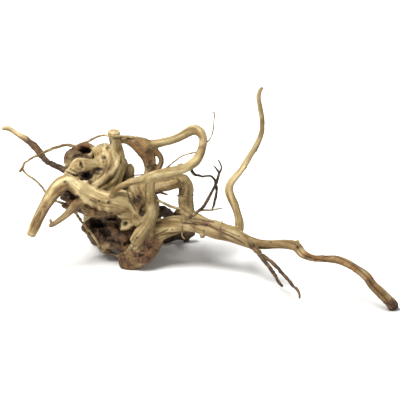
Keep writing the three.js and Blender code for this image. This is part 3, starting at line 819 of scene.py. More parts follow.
# The knotted crown with the limbs that grow out of it to the left.
crownLimbs = {
    "leftArm": [
        [31, 234.3, 30, 4.6], [34.8, 226.5, 31, 5.6], [39.6, 216.5, 32, 6.1], [44.7, 206.8, 32, 6.3],
        [50, 198, 31, 6.5], [56, 190.3, 30, 7.3], [63, 184, 30, 8], [70, 182, 30, 8.4],
        [78, 186.5, 32, 8.6], [87, 193.5, 35, 8.8], [97, 198, 36, 9.2], [108, 200.5, 36, 10],
        [119, 200.5, 33, 11.3], [127, 203, 28, 9], [136, 209, 24, 7],
    ],
    "leftBranch": [
        [84, 198, 34, 4.5], [77, 204, 37, 4.2], [71, 210.3, 39, 3.6], [64, 216.8, 40, 3],
        [57.5, 221.6, 41, 2.7], [52, 224.9, 41, 2.5], [49.6, 226, 41, 2],
    ],
    "armWeb": [[59, 190, 21, 6], [66, 191.5, 20, 7], [73, 196, 18, 6.6]],
    "darkLimb": [
        [76, 176, -8, 4], [66, 171, -6, 3.3], [60, 168, -7, 3.1], [52, 164.5, -8, 2.8], [46, 161, -9, 3],
        [42, 156, -10, 3.1], [38.5, 151, -11, 3.3], [33, 145.3, -12, 3.4], [28, 140.8, -12.5, 3.4],
        [23.5, 137.6, -13, 3.3], [17, 133.7, -14, 2.7], [11, 129.6, -15, 2.7], [6.5, 127.6, -15, 2.9],
        [2.5, 128.3, -15, 1.9],
    ],
    "darkLimbKnot": [[27, 139, -12.5, 2.4], [26.2, 136, -12.5, 1.3]],
    "core": [[110, 188, -6, 18], [112, 206, -8, 23], [112, 222, -10, 17]],
    "coreLeft": [[76, 170, -5, 8], [84, 182, -8, 11], [95, 196, -8, 15]],
    "slab": [[103, 188, 8, 15], [107, 175, 8, 17], [109, 164, 8, 17.3], [106, 155.5, 8, 12.2]],
    "knob": [
        [118, 164, 12, 8.5], [117, 153, 17, 7.4], [115.3, 144, 21, 6], [114.4, 138, 24, 5.4],
        [114.2, 134, 25.5, 6], [114.2, 132.5, 26, 6.2],
    ],
    "knotLimb": [
        [100, 165, 17, 7], [90, 164.5, 22, 6], [84, 165, 24, 6.6], [78, 166, 26, 8], [73.5, 170, 28, 6],
        [69, 176, 29, 6],
    ],
    "burl": [[73, 165, 3, 9.5], [74.5, 159, 1, 10.3], [82, 155, -3, 8.7], [91, 155, -2, 8.3]],
    "burlCrust": [
        [74.5, 150.5, 4, 2.6], [78, 147.5, 6, 3], [83, 146, 7, 3], [88, 145.8, 6, 2.6], [93, 148, 4, 2.4],
    ],
    "slabTop": [[99, 153, 3, 8], [104, 151, 6, 8.4], [110, 153, 10, 9]],
    "darkBacking": [[84, 163, 0, 8], [88, 172, 2, 9], [92, 182, 4, 10]],
    "cheekLow": [[124, 222, 8, 8], [131, 228, 6, 9], [136, 236, 6, 8]],
    "paleRoot": [[128.8, 165.5, 0, 3.6], [130.5, 169, 0, 4.2], [130, 174, 0, 4.6], [129, 182, 0, 6]],
    "panel": [[136, 184, 4, 9], [141, 195, 6, 12], [146, 204, 4, 12.5], [147, 214, 4, 12]],
    "lip": [
        [84, 206, 26, 4], [90, 210, 27, 5.5], [98, 211.3, 27, 5.6], [107, 210, 26, 6], [117, 209, 25, 6],
    ],
    "underLimb": [[61.5, 197.5, 16, 2.4], [67, 199, 18, 3.4], [76, 203, 20, 5.5], [86, 206, 14, 8]],
    "underBark": [[63, 205, 12, 3], [69, 206.7, 14, 4.2], [78, 207.5, 15, 5.4], [88, 208, 10, 8]],
    "knotPale": [
        [118.5, 217.5, 26, 2.8], [123, 217, 28.5, 4.2], [127.5, 216.3, 27, 3.4], [132, 213, 24, 5],
    ],
    "knotRing": [[121, 226, 23, 4.6], [126, 225.2, 23, 5.2], [131, 221, 20, 6]],
    "cheek": [[128, 210, 24, 6], [136, 214, 22, 7.5], [141.5, 221, 22, 7.5]],
    "base": [[88.5, 225, -2, 8.6], [96, 230, -6, 11.5], [110, 236, -8, 13.5], [120, 238, -4, 11]],
    "baseLump": [[109, 229, 2, 9], [118, 232, 6, 9.5], [126, 236, 6, 8]],
    "baseBlock": [[112, 243, -4, 6.5], [119, 244, 0, 7], [128, 246, 2, 6.5]],
    "paleLump": [[103, 243.5, -8, 5.4], [107, 248, -11, 5.4]],
    "heel": [[104, 222, -18, 13], [100, 229, -34, 10.5], [99, 236.5, -50.5, 10]],
    "backRootLeft": [
        [80, 164, -8, 8], [83, 179, -24, 7.4], [95, 194, -38, 7], [111, 206, -45, 6.2], [122, 220, -41, 6],
        [127, 234, -29, 6], [134, 246, -10, 5.6],
    ],
    "backRootMiddle": [
        [100, 158, -6, 8], [107, 174, -26, 8.4], [101, 194, -37, 7.6], [91, 211, -41, 8],
        [95, 230, -45, 8.6],
    ],
    "backRootRight": [
        [116, 152, 2, 8], [124, 176, -24, 8.5], [138, 200, -30, 8.5], [156, 222, -40, 7],
        [168, 236, -49, 5],
    ],
    "backRootFork": [[110, 206, -44, 5], [107, 218, -53, 3.8], [105, 229, -58, 2.8]],
    "backStub": [[122, 186, -26, 7], [125, 178, -42, 5], [123, 172, -56, 3.8]],
}

# Twigs and rootlets up to six millimetres thick, each sunk into the limb that it grows from.
rootlets = {
    "forkedTwig": [
        [249, 243, 46, 3], [255, 249, 50, 2.9], [260, 254, 53, 2.6], [266, 257.3, 57, 2],
        [272, 262.3, 60, 1.8], [279, 269.3, 64, 1.8], [286, 277, 69, 1.7], [292, 284.3, 73, 1.6],
        [297.3, 290, 78, 1.5], [299.6, 294.5, 81, 1.3], [299.5, 298, 83, 0.8],
    ],
    "forkedTwigShort": [
        [258.5, 251.5, 53, 2.4], [262, 257.5, 56, 2.2], [266.5, 263.5, 59, 2], [271, 269, 62, 2.2],
        [274.5, 275, 65, 2], [278, 281, 68, 1.6], [281, 285.3, 71, 1.4], [282.2, 286.2, 72, 1.2],
    ],
    "forkSpur": [[255, 248.5, 50, 2.4], [258.3, 253.6, 51, 1.3]],
    "leftBranchStub": [[51.8, 224.3, 41, 1.8], [50.2, 219.3, 42, 0.9]],
    "leftLoopTwig": [
        [19.5, 171.5, 8, 1.4], [22.3, 167.5, 8, 1.3], [24, 163.3, 8, 1.1], [28, 160.3, 8, 1.1],
        [34, 157, 7, 1.1], [41, 153.8, 6, 1.2], [48, 150.3, 6, 1.2], [56, 147.4, 5, 1.3],
        [63, 145.5, 5, 1.4], [69, 145, 4, 1.4], [73.5, 146.3, 4, 1.8], [78, 148.5, 3, 2.4],
    ],
    "topTwig": [
        [83, 144, 5, 2], [89, 141, 7, 1.3], [94, 138.2, 11, 1.2], [99, 136, 18, 1.1], [105, 135.4, 26, 1],
        [109, 135.8, 30.5, 0.9], [115, 136.2, 31.8, 0.9], [121, 136.2, 28.5, 1], [129, 136.8, 26, 1.3],
        [137, 138, 25, 1.6], [143, 140, 23, 1.8],
    ],
    "leftDownTwig": [
        [21.8, 168.6, 8, 1.2], [26, 173.5, 8, 1], [31, 177.5, 8, 1.1], [36.5, 181, 7, 1.2],
        [41, 186, 7, 1.1], [45, 191.5, 8, 1.1], [49, 197, 9, 1.1], [54, 200.3, 11, 1.1],
        [60, 202.3, 13, 1.2], [67, 205, 14, 1.8],
    ],
    "rimRootlet": [
        [73, 210, 16, 1.6], [77, 214.5, 10.5, 1.4], [80, 219.5, 8.5, 1.4], [84, 224.5, 7, 1.4],
        [89, 230.5, 7, 1.4], [94, 237, 6, 1.5], [98.5, 244, 0.5, 1.6], [102, 250, -9, 2.2],
        [107, 252.3, -14, 2.4], [112, 253, -11, 1.6], [116, 255, -6, 1], [121, 257, -1, 1.2],
    ],
    "risingTwig": [
        [188, 219, 24, 2], [196, 213, 24, 1.7], [201, 209.3, 22, 1.6], [205, 204, 21, 1.6],
        [209, 197, 20, 1.5], [213, 189.5, 20, 1.4], [216.3, 182.5, 20, 1.4], [218.3, 176, 20, 1.3],
        [218.7, 172.5, 20, 1.1], [216.6, 169.3, 20, 0.9], [214.3, 166.3, 20, 0.7],
    ],
    "risingTwigFork": [
        [218.5, 174.5, 20, 1], [220.8, 170.3, 21, 0.9], [221.5, 167, 21, 0.8], [220.3, 163.3, 21, 0.7],
        [218.3, 160, 21, 0.6],
    ],
    "hangingTwig": [
        [191, 167, 45, 1.8], [192.8, 172.5, 42, 1.3], [195.5, 174.8, 40, 1.2], [199, 175.6, 38, 1.1],
        [203, 176.7, 35, 1.1], [207, 175.8, 32, 1.1], [211, 176.3, 29, 1.2], [214.3, 179.5, 24, 1.3],
        [216, 184, 21, 1.3], [216.6, 190, 20, 1.2], [216.2, 196, 19, 1.2], [214.6, 202, 19, 1.2],
        [213, 207, 19.5, 1.1], [211.5, 210.3, 20, 0.8],
    ],
    "sideTwig": [
        [193, 215, 25, 1.6], [199, 211, 22, 1.1], [205, 210.2, 21, 0.9], [212, 210, 20, 0.9],
        [218, 208.9, 19, 0.7], [222.5, 208, 18, 0.5],
    ],
    "hairTwig": [
        [204.5, 144.5, 42, 1], [209.5, 139.5, 39, 0.6], [212, 134.5, 38, 0.6], [213.3, 129, 37, 0.55],
        [213.8, 123, 36, 0.55], [214.3, 117, 35, 0.55], [214.2, 112.6, 34, 0.6], [211.8, 112, 33, 0.5],
    ],
    "loopTwig": [
        [164, 171, 46, 1.4], [171, 164, 45, 0.8], [176, 160.3, 44, 0.75], [180.5, 156.8, 43, 0.7],
        [185.5, 154.7, 42, 0.65], [191, 153.3, 42, 0.65], [199, 151.5, 43, 0.8],
    ],
    "bentLimbVine": [
        [162, 173, 46, 1.2], [169, 177.3, 38, 0.8], [173.5, 179, 29, 0.9], [177, 178.7, 23, 0.8],
        [180.5, 183, 17.5, 0.8], [182.8, 188, 15, 0.8], [184, 194, 14, 0.8], [186, 199, 15.5, 0.8],
    ],
    "bentLimbBand": [
        [177.5, 195.8, 10, 0.8], [181, 196, 13.6, 0.8], [187, 195.7, 15, 0.8], [193, 194.8, 9, 0.8],
    ],
    "darkGapTwig": [
        [151, 194, 38, 1.2], [157, 192.8, 31, 1.2], [163, 193.2, 20, 1.2], [167.5, 194.6, 18, 0.8],
    ],
    "paleGapTwig": [
        [154, 198, 12, 1.6], [161, 201.8, 14, 1.2], [167, 204.6, 15, 1.3], [173, 207, 16, 1.3],
        [180, 209.3, 17, 1.5], [187, 212, 16, 2],
    ],
    "archGapTwig": [[126, 176, 6, 1], [135, 175.2, 6, 0.6], [140, 175, 8, 0.7], [147, 174, 12, 0.8]],
    "trunkVine": [
        [181, 219, 26, 1.2], [181.8, 226, 29.5, 0.9], [182.2, 231, 27, 0.9], [182, 236, 22, 0.8],
        [184.5, 238.5, 19, 0.7],
    ],
}

# What covers each limb where it isn't plain bare wood: bark, rust, dull and dirt as shares, the dull one
# partly painted shade, grain as a share of the usual depth, strands as how many and how deep their
# valleys are, wrinkles as how high and how far apart, and twist as the length along which the grain
# turns by one radian.
rightLooks = {
    "trunk": {"strands": (3, 1.8), "twist": 44, "rust": 0.12, "dullAndShade": 0.35},
    "upperStrand": {"strands": (2, 1.1), "twist": 40},
    "upright": {"twist": 70},
    "loop": {"twist": 85, "grain": 0.8},
    "strut": {"twist": 120, "strands": (2, 0.3), "grain": 0.5, "dullAndShade": 0.2},
    "arch": {"bark": 0.12, "rust": 0.2, "twist": 40, "dullAndShade": 0.4},
    "archStrand": {"bark": 0.2, "rust": 0.3, "dullAndShade": 0.5},
    "bentLimb": {"wrinkles": (0.12, 4.2), "twist": 90, "bark": 0.12, "dullAndShade": 0.6, "grain": 0.7},
    "foot": {"bark": 0.85, "rust": 0.4, "dullAndShade": 1, "dirtAndShade": 0.12, "wrinkles": (0.3, 6), "grain": 0.5},
    "footHeel": {"bark": 0.6, "rust": 0.3, "dullAndShade": 1, "dirtAndShade": 0.1, "grain": 0.6},
    "darkRoot": {"bark": 1, "dirtAndShade": 0.35},
    "darkRootLying": {"bark": 1, "dirtAndShade": 0.35},
    "darkToe": {"bark": 1, "dirtAndShade": 0.35},
    "smallKnots": {"bark": 0.9, "dirtAndShade": 0.2},
    "trunkStub": {"bark": 0.5},
    "twigRoot": {"dullAndShade": 0.3, "twist": 60, "grain": 0.7},
}
crownLooks = {
    "leftArm": {"twist": 90, "strands": (2, 0.25), "grain": 0.2},
    "leftBranch": {"rust": 0.25, "dullAndShade": 0.95, "grain": 0.8},
    "darkLimb": {"bark": 0.95, "dullAndShade": 0.9, "dirtAndShade": 0.35, "twist": 50},
    "darkLimbKnot": {"bark": 0.5},
    "armWeb": {"bark": 0.4, "dullAndShade": 0.6},
    "core": {"bark": 0.9},
    "coreLeft": {"bark": 0.9},
    "slab": {"twist": 400, "grain": 0.45},
    "slabTop": {"twist": 400, "grain": 0.6},
    "darkBacking": {"bark": 0.9},
    "cheekLow": {"bark": 0.7, "rust": 0.2},
    "knob": {"twist": 300, "grain": 0.5},
    "knotLimb": {"grain": 0.6},
    "burl": {"bark": 0.45, "dullAndShade": 0.5},
    "burlCrust": {"bark": 0.6, "rust": 0.7},
    "panel": {"bark": 0.22, "dullAndShade": 0.65},
    "lip": {"bark": 0.3, "rust": 0.3, "dullAndShade": 0.9, "wrinkles": (0.35, 5)},
    "underLimb": {"bark": 0.8, "rust": 0.25},
    "underBark": {"bark": 0.85, "rust": 0.35},
    "cheek": {"bark": 0.2, "dullAndShade": 0.3, "grain": 0.6},
    "base": {"bark": 1},
    "baseLump": {"bark": 1, "rust": 0.15},
    "baseBlock": {"bark": 0.9, "rust": 0.3},
    "paleLump": {"rust": 0.25, "dullAndShade": 0.5, "grain": 0.4},
    "heel": {"bark": 0.8},
    "backRootLeft": {"bark": 0.5, "dullAndShade": 0.5, "strands": (3, 1.3), "twist": 45, "grain": 1.5},
    "backRootMiddle": {"bark": 0.42, "dullAndShade": 0.4, "strands": (2, 1.2), "twist": 60, "grain": 1.5},
    "backRootRight": {"bark": 0.45, "dullAndShade": 0.5, "strands": (3, 1.5), "twist": 55, "grain": 1.5},
    "backRootFork": {"bark": 0.5, "dullAndShade": 0.5, "grain": 1.5},
    "backStub": {"bark": 0.3},
}
rootletLooks = {
    "leftLoopTwig": {"bark": 0.2},
    "leftDownTwig": {"bark": 0.2},
    "topTwig": {"bark": 0.15},
    "risingTwig": {"bark": 0.9, "dirtAndShade": 0.25},
    "risingTwigFork": {"bark": 1, "dirtAndShade": 0.4},
    "hangingTwig": {"bark": 1, "dirtAndShade": 0.4},
    "sideTwig": {"bark": 0.3},
    "darkGapTwig": {"bark": 1},
    "archGapTwig": {"bark": 0.7},
    "forkedTwig": {"bark": 0.9, "dullAndShade": 0.9, "dirtAndShade": 0.15},
    "forkedTwigShort": {"bark": 0.95, "dullAndShade": 0.9, "dirtAndShade": 0.25},
    "loopTwig": {"bark": 0.25},
    "paleGapTwig": {"dullAndShade": 0.1},
    "trunkVine": {"bark": 0.2},
    "rimRootlet": {"bark": 0.1},
}

# Spots on the front view, in mm. melt: [across, down, radius, strength] and sometimes near, for limbs
# grown together. hollow: [across, down, half width, half height, depth]. The others are stains, some of
# them painted shade: [across, down, radius, share], where a share below nought takes some away.
spots = {
    "melt": [
        [104, 158, 17, 1], [119, 157, 9, 1], [111, 180, 14, 1], [104, 176, 9, 1], [118, 197, 13, 0.9],
        [92, 178, 9, 0.8], [68, 184, 9, 0.7], [150, 182, 7, 0.8], [77, 166, 8, 0.8], [124, 221, 10, 0.9],
        [148, 240, 13, 0.9], [113, 192, 7, 0.8], [96, 208, 8, 0.5], [138, 214, 8, 0.7], [238, 229, 7, 0.8],
        [146, 145, 7, 0.7], [190, 216, 7, 0.6], [84, 155, 10, 0.7], [252, 243, 5, 0.7],
        [100, 180, 14, 1, -34], [116, 158, 13, 1, -8], [101, 164, 13, 1, -16], [84, 170, 11, 1, -16],
        [128, 186, 11, 0.8, -28], [92, 205, 12, 0.9, -48], [112, 205, 12, 0.8, -44],
        [104, 226, 12, 0.8, -44],
    ],
    "hollow": [
        [98, 224, 9, 5, 8], [106, 232, 7, 6, 6], [112, 218.5, 6, 2.6, 7], [84.5, 151, 7, 3.6, 8],
        [85.5, 176, 7, 4, 8], [77, 175.8, 5, 1.4, 4], [103.5, 158, 2, 2.4, 2], [137, 200, 6, 5, 1.2],
        [74, 198, 5, 3, 4], [99, 169.5, 5, 2.2, 3], [92, 231, 4, 5, 4], [118, 226, 4, 4, 4],
    ],
    # Dark bark, and painted shade in the crown's cavities and holes and on the bent limb's left side.
    "bark": [
        [148, 152, 7, 0.5], [152, 168, 7, 0.6], [118, 151, 5, 0.3], [96, 170, 5, 0.5], [82, 178, 5, 1],
        [80, 152, 8, 0.8], [72, 199, 5, 0.9], [105, 230, 15, 0.8], [142, 250, 7, 0.45],
        [150, 252, 10, 0.45], [139, 201, 7, 0.55], [70, 193, 6, 0.5], [62, 169, 10, 0.5], [46, 160, 9, 0.3],
        [65, 181.5, 3.5, 0.5], [51, 226, 3, 0.6], [143, 211, 5, 0.7], [180, 191, 4, 0.8], [395, 309, 10, 1],
        [388, 302, 5, 0.4], [33, 234, 3, 0.5], [296, 246.5, 3, 0.4], [102, 152, 9, -0.9],
        [104, 246.5, 6, -1], [110, 163, 8, -0.6], [131, 250, 4.5, 0.7], [138, 258, 8, 0.35],
        [118, 260, 7, 0.7], [124, 264, 6, 0.7], [120, 254, 5, 0.5], [369, 281, 6, 0.45],
        [322, 258, 7, 0.35], [352, 267, 6, 0.3], [110, 203.6, 3, 0.5], [8, 129, 14, -1.1],
        [20, 135.5, 7, -0.9], [262, 88, 2, 0.6], [190, 221, 6, 0.5], [205, 224, 6, 0.5], [222, 229, 6, 0.3],
    ],
    # A darker tone, partly painted shade, as along the trunk's underside.
    "dullAndShade": [
        [105, 246, 6, 0.6], [104, 196, 9, 0.25], [120, 200, 8, 0.2], [132, 207, 8, 0.4], [262, 244, 12, 1],
        [278, 244, 12, 1], [294, 246, 8, 0.9], [310, 258, 10, 0.6], [330, 260, 12, 0.6],
        [350, 266, 10, 0.4], [372, 284, 14, 0.15], [390, 302, 10, 0.15], [200, 229, 14, 0.3],
        [225, 234, 12, 0.3], [248, 240, 10, 0.4], [45, 209, 13, 0.8], [36, 226, 10, 0.9], [55, 192, 9, 0.5],
        [138, 200, 9, 0.7], [82, 196, 8, 0.3], [258, 118, 20, 0.25], [108, 160, 9, 0.5], [100, 172, 9, 0.6],
        [113, 182, 8, 0.6], [112, 170, 6, 0.3], [202, 140, 9, 0.45], [201, 152, 8, 0.4],
        [260, 101, 14, 0.45], [262, 128, 10, 0.4], [96, 209, 12, 0.3], [150, 252, 12, 0.9],
        [135, 258, 9, 0.6], [154, 200, 6, 0.5], [152, 224, 8, 0.4], [152, 190, 5, 0.4], [114, 134, 7, -0.4],
        [118, 149, 5, 0.4], [10, 130, 15, -0.9], [170, 172, 12, 0.2], [140, 138, 8, -0.2],
        [66, 190, 8, 0.4], [148, 152, 9, 0.2],
    ],
    "rust": [
        [105, 246, 5, 0.35], [147, 252, 10, 0.2], [128, 260, 9, 0.25], [309, 258, 9, 0.6],
        [322, 259, 9, 0.65], [338, 261, 9, 0.45], [352, 267, 8, 0.55], [369, 281, 8, 0.6],
        [384, 297, 9, 0.45], [196, 132, 7, 0.3], [203, 148, 9, 0.35], [76, 207, 7, 0.45],
        [140, 146, 8, 0.5], [150, 158, 9, 0.45], [34, 147, 8, 0.4], [43, 213, 9, 0.5], [37, 226, 6, 0.3],
        [130, 140, 6, 0.15], [66, 190, 6, 0.2], [300, 253, 8, 0.35],
    ],
    # Dirt and the dark cut end of the tip, and painted shadow under the trunk.
    "dirtAndShade": [
        [396, 309, 5, 0.6], [391, 304, 4, 0.2], [8, 129, 16, -0.5], [21, 136, 8, -0.4], [35, 148, 6, -0.2],
        [58, 168, 8, 0.25], [182, 236, 6, 0.3], [203, 237, 5, 0.25], [172, 237, 5, 0.3],
        [222, 238, 5, 0.25], [121, 263, 5, 0.2], [256, 245, 4, 0.3], [131, 250, 4, 0.3],
        [137, 258, 8, 0.15],
    ],
}

# Marks on the front view, in mm. cords: lines of [across, down, half width, rise]. knots: [across, down,
# radius, rim, pit]. slits: [from across, from down, to across, to down, half width, depth].
marks = {
    "cords": [
        [
            [120.3, 154.5, 1.6, 0.2], [118.8, 160, 2.6, 1.5], [115.6, 167, 3.3, 2.4],
            [110.6, 173.8, 3.7, 2.8], [103.5, 179.8, 3.9, 2.8], [97, 184.8, 3.8, 2.4],
            [92.5, 188, 3.4, 0.8],
        ],
        [[119, 176, 2, 0.2], [113, 182, 2.6, 1.3], [106, 187.5, 2.4, 0.6]],
        [[66, 170, 0.8, 0.5], [72, 172.6, 0.9, 1], [77, 175, 0.8, 0.4]],
        [[65.5, 172.6, 0.8, 0.5], [70, 174.8, 0.9, 0.9], [74, 177.6, 0.8, 0.4]],
        [[86, 180, 4, 2], [93, 178, 4.6, 2.6], [100, 173, 3.6, 1]],
        [[90, 171, 3, 0.4], [97, 171, 3.4, 1.4], [103, 167, 3, 0.6]],
        [[101, 242.5, 4, 1], [105.5, 246, 5.5, 3], [109, 250, 4, 1.2]],
        [[84, 203, 2, 0.6], [84.5, 209, 2.4, 1.6], [86, 213, 2, 0.8]],
        [[91, 204, 2, 0.5], [92, 210, 2.6, 1.6], [93.5, 214.5, 2, 0.8]],
        [[99, 205, 2, 0.5], [100, 210, 2.4, 1.5], [101.5, 214, 2, 0.6]],
        [[107, 206, 2, 0.4], [108, 210, 2.6, 1.4], [110, 213, 2, 0.6]],
    ],
    "knots": [
        [65, 181, 2.4, 0.5, 1.2], [81.7, 165.2, 2.6, 0.6, 0.6], [44, 207, 1.8, 0.3, 0.7],
        [104, 158, 2.6, 0.5, 0.9], [98.6, 202, 2.2, 0.7, 0.2], [109.4, 203.6, 1.8, 0.3, 1],
        [136.5, 239, 1.8, 0.3, 1.2], [148, 231, 1.3, 0.2, 0.7], [238, 236.5, 1.8, 0.4, 0.6],
        [270, 242.5, 1.4, 0.3, 1.2], [297, 246.5, 1.8, 0.4, 1.6], [257, 151, 1.4, 0.4, 0.3],
        [247, 169, 1.5, 0.5, 0.3], [117, 242, 2, 0.3, 1.3], [124.3, 223.8, 3.6, 1.2, 3],
        [395.8, 309.5, 4.5, 0.2, 1.2], [204, 232, 1.6, 0.3, 0.6], [172, 230, 1.5, 0.3, 0.4],
        [342, 262, 1.5, 0.4, 0.4], [128, 165, 1.6, 0.5, 0.6], [152, 199, 1.2, 0.2, 0.5],
        [48, 219, 1.2, 0.3, 0.4], [230, 205, 1.2, 0.3, 0.3], [262, 120, 0.9, 0.2, 0.3],
    ],
    "slits": [
        [106, 148, 110, 142.5, 0.9, 1.6], [80.8, 162.8, 82.6, 167.4, 1.2, 2.6],
        [184, 222.5, 207, 225, 0.8, 1.3], [190, 218, 214, 221.5, 0.7, 0.9],
        [154, 236, 168, 229.5, 0.7, 0.7], [90, 200, 96, 203, 0.7, 0.8], [128, 191, 130.5, 200, 0.7, 0.9],
        [130.5, 200, 136, 211, 0.7, 0.9], [66, 171.4, 76, 176, 0.6, 1], [70, 168.6, 77, 172.6, 0.6, 0.7],
        [112, 138.6, 119.5, 138.4, 0.6, 0.5], [43, 206, 45, 212, 0.5, 0.6], [41, 212, 38, 222, 0.5, 0.4],
        [220, 229, 238, 236, 0.6, 0.7],
    ],
}

rightBody = fusedBody(
    "right_limbs_and_foot", rightLimbs, rightLooks, fusing["rightCell"], fusing["rightSeed"],
)
crownBody = fusedBody(
    "crown_and_left_limbs", crownLimbs, crownLooks, fusing["crownCell"], fusing["crownSeed"],
)

# Rootlets: mm between rings, sides, how their noise is laid, how far path and radius waver as shares of
# the radius, and how their stains mottle. A look that isn't listed is a rootlet's own.
rootletForm = {
    "ringStep": 0.7,
    "sides": 12,
    "lineCell": 3.5,
    "lineApart": 7.3,
    "seed": 60,
    "waver": 0.25,
    "swell": 0.14,
    "swellFiner": 1.7,
    "knob": 0.05,
    "knobFiner": 5,
    "mottle": 0.25,
    "mottleCell": 4,
    "look": {"bark": 0.05, "rust": 0.05, "dullAndShade": 0.4},
}


# A rootlet is a limb surface whose radius and path waver with noise along its length.
def rootletPiece(name, group, looks):
    form = rootletForm
    seed = form["seed"]
    parts = []
    stains = []
    for order, (key, stations) in enumerate(group.items()):
        rings = spindle(stations, form["ringStep"] / 1000)
        count = len(rings["radii"])
        along = rings["along"] * 1000 / form["lineCell"]
        line = np.stack([along, np.full(count, form["lineApart"] * order), np.zeros(count)], axis=1)
        waver = np.stack([noise(line, seed + i) for i in range(3)], axis=1)
        rings["centres"] = rings["centres"] + form["waver"] * waver * rings["radii"][:, None]
        swell = 1 + form["swell"] * noise(line * form["swellFiner"], seed + 4)
        rings["radii"] = rings["radii"] * (swell + form["knob"] * noise(line * form["knobFiner"], seed + 5))
        parts.append(limbSurface(rings, fluteStart(stations), form["sides"]))
        look = form["look"] | looks.get(key, {})
        mottle = form["mottle"] * noise(parts[-1][0] * 1000 / form["mottleCell"], seed + 6)
        shares = {tint: np.clip(look[tint] + mottle, 0, 1) for tint in form["look"]}
        shares["hollow"] = np.clip(look.get("dirtAndShade", 0) * (1 + 2 * mottle), 0, 1)
        stains.append(shares | {"crest": np.zeros(len(mottle))})
    piece = meshFrom(name, parts)
    shares = {tint: np.hstack([some[tint] for some in stains]) for tint in stains[0]}
    giveAttributes(piece.data, shares, np.vstack([part[0] for part in parts]) * 1000)
    print("stage:", name, "with", len(piece.data.vertices), "vertices")
    return piece


rootletBody = rootletPiece("rootlets", rootlets, rootletLooks)


def linear(hexColour):
    channels = [int(hexColour[i:i + 2], 16) / 255 for i in (1, 3, 5)]
    return [c / 12.92 if c <= 0.04045 else ((c + 0.055) / 1.055) ** 2.4 for c in channels] + [1]


# The wood's colours, and the size in mm of each noise that tells them apart.
rootWood = {
    "bleachedAndHighlight": "#d1c094",
    "straw": "#ae996b",
    "tan": "#8b7347",
    "shade": "#5c4222",
    "weathered": "#807350",
    "dullDark": "#49351b",
    "dullLight": "#7b6238",
    "rustLight": "#85592f",
    "rustDark": "#3e2413",
    "barkDark": "#191110",
    "barkBrown": "#38271a",
    "barkPurple": "#56412f",
    "barkTan": "#806543",
    "dirtAndShade": "#1d130a",
    "grain": (16, 1.1, 1.1),
    "broadGrain": (48, 5.5, 5.5),
    "fibre": (9, 0.4, 0.4),
    "patch": 24,
    "calm": 15,
    "blotch": 7,
    "pore": 1.2,
    "bumps": ((0.6, 0.0004), (0.5, 0.0002), (0.4, 0.0003)),  # strength, metres: grain, fibre, pores
}
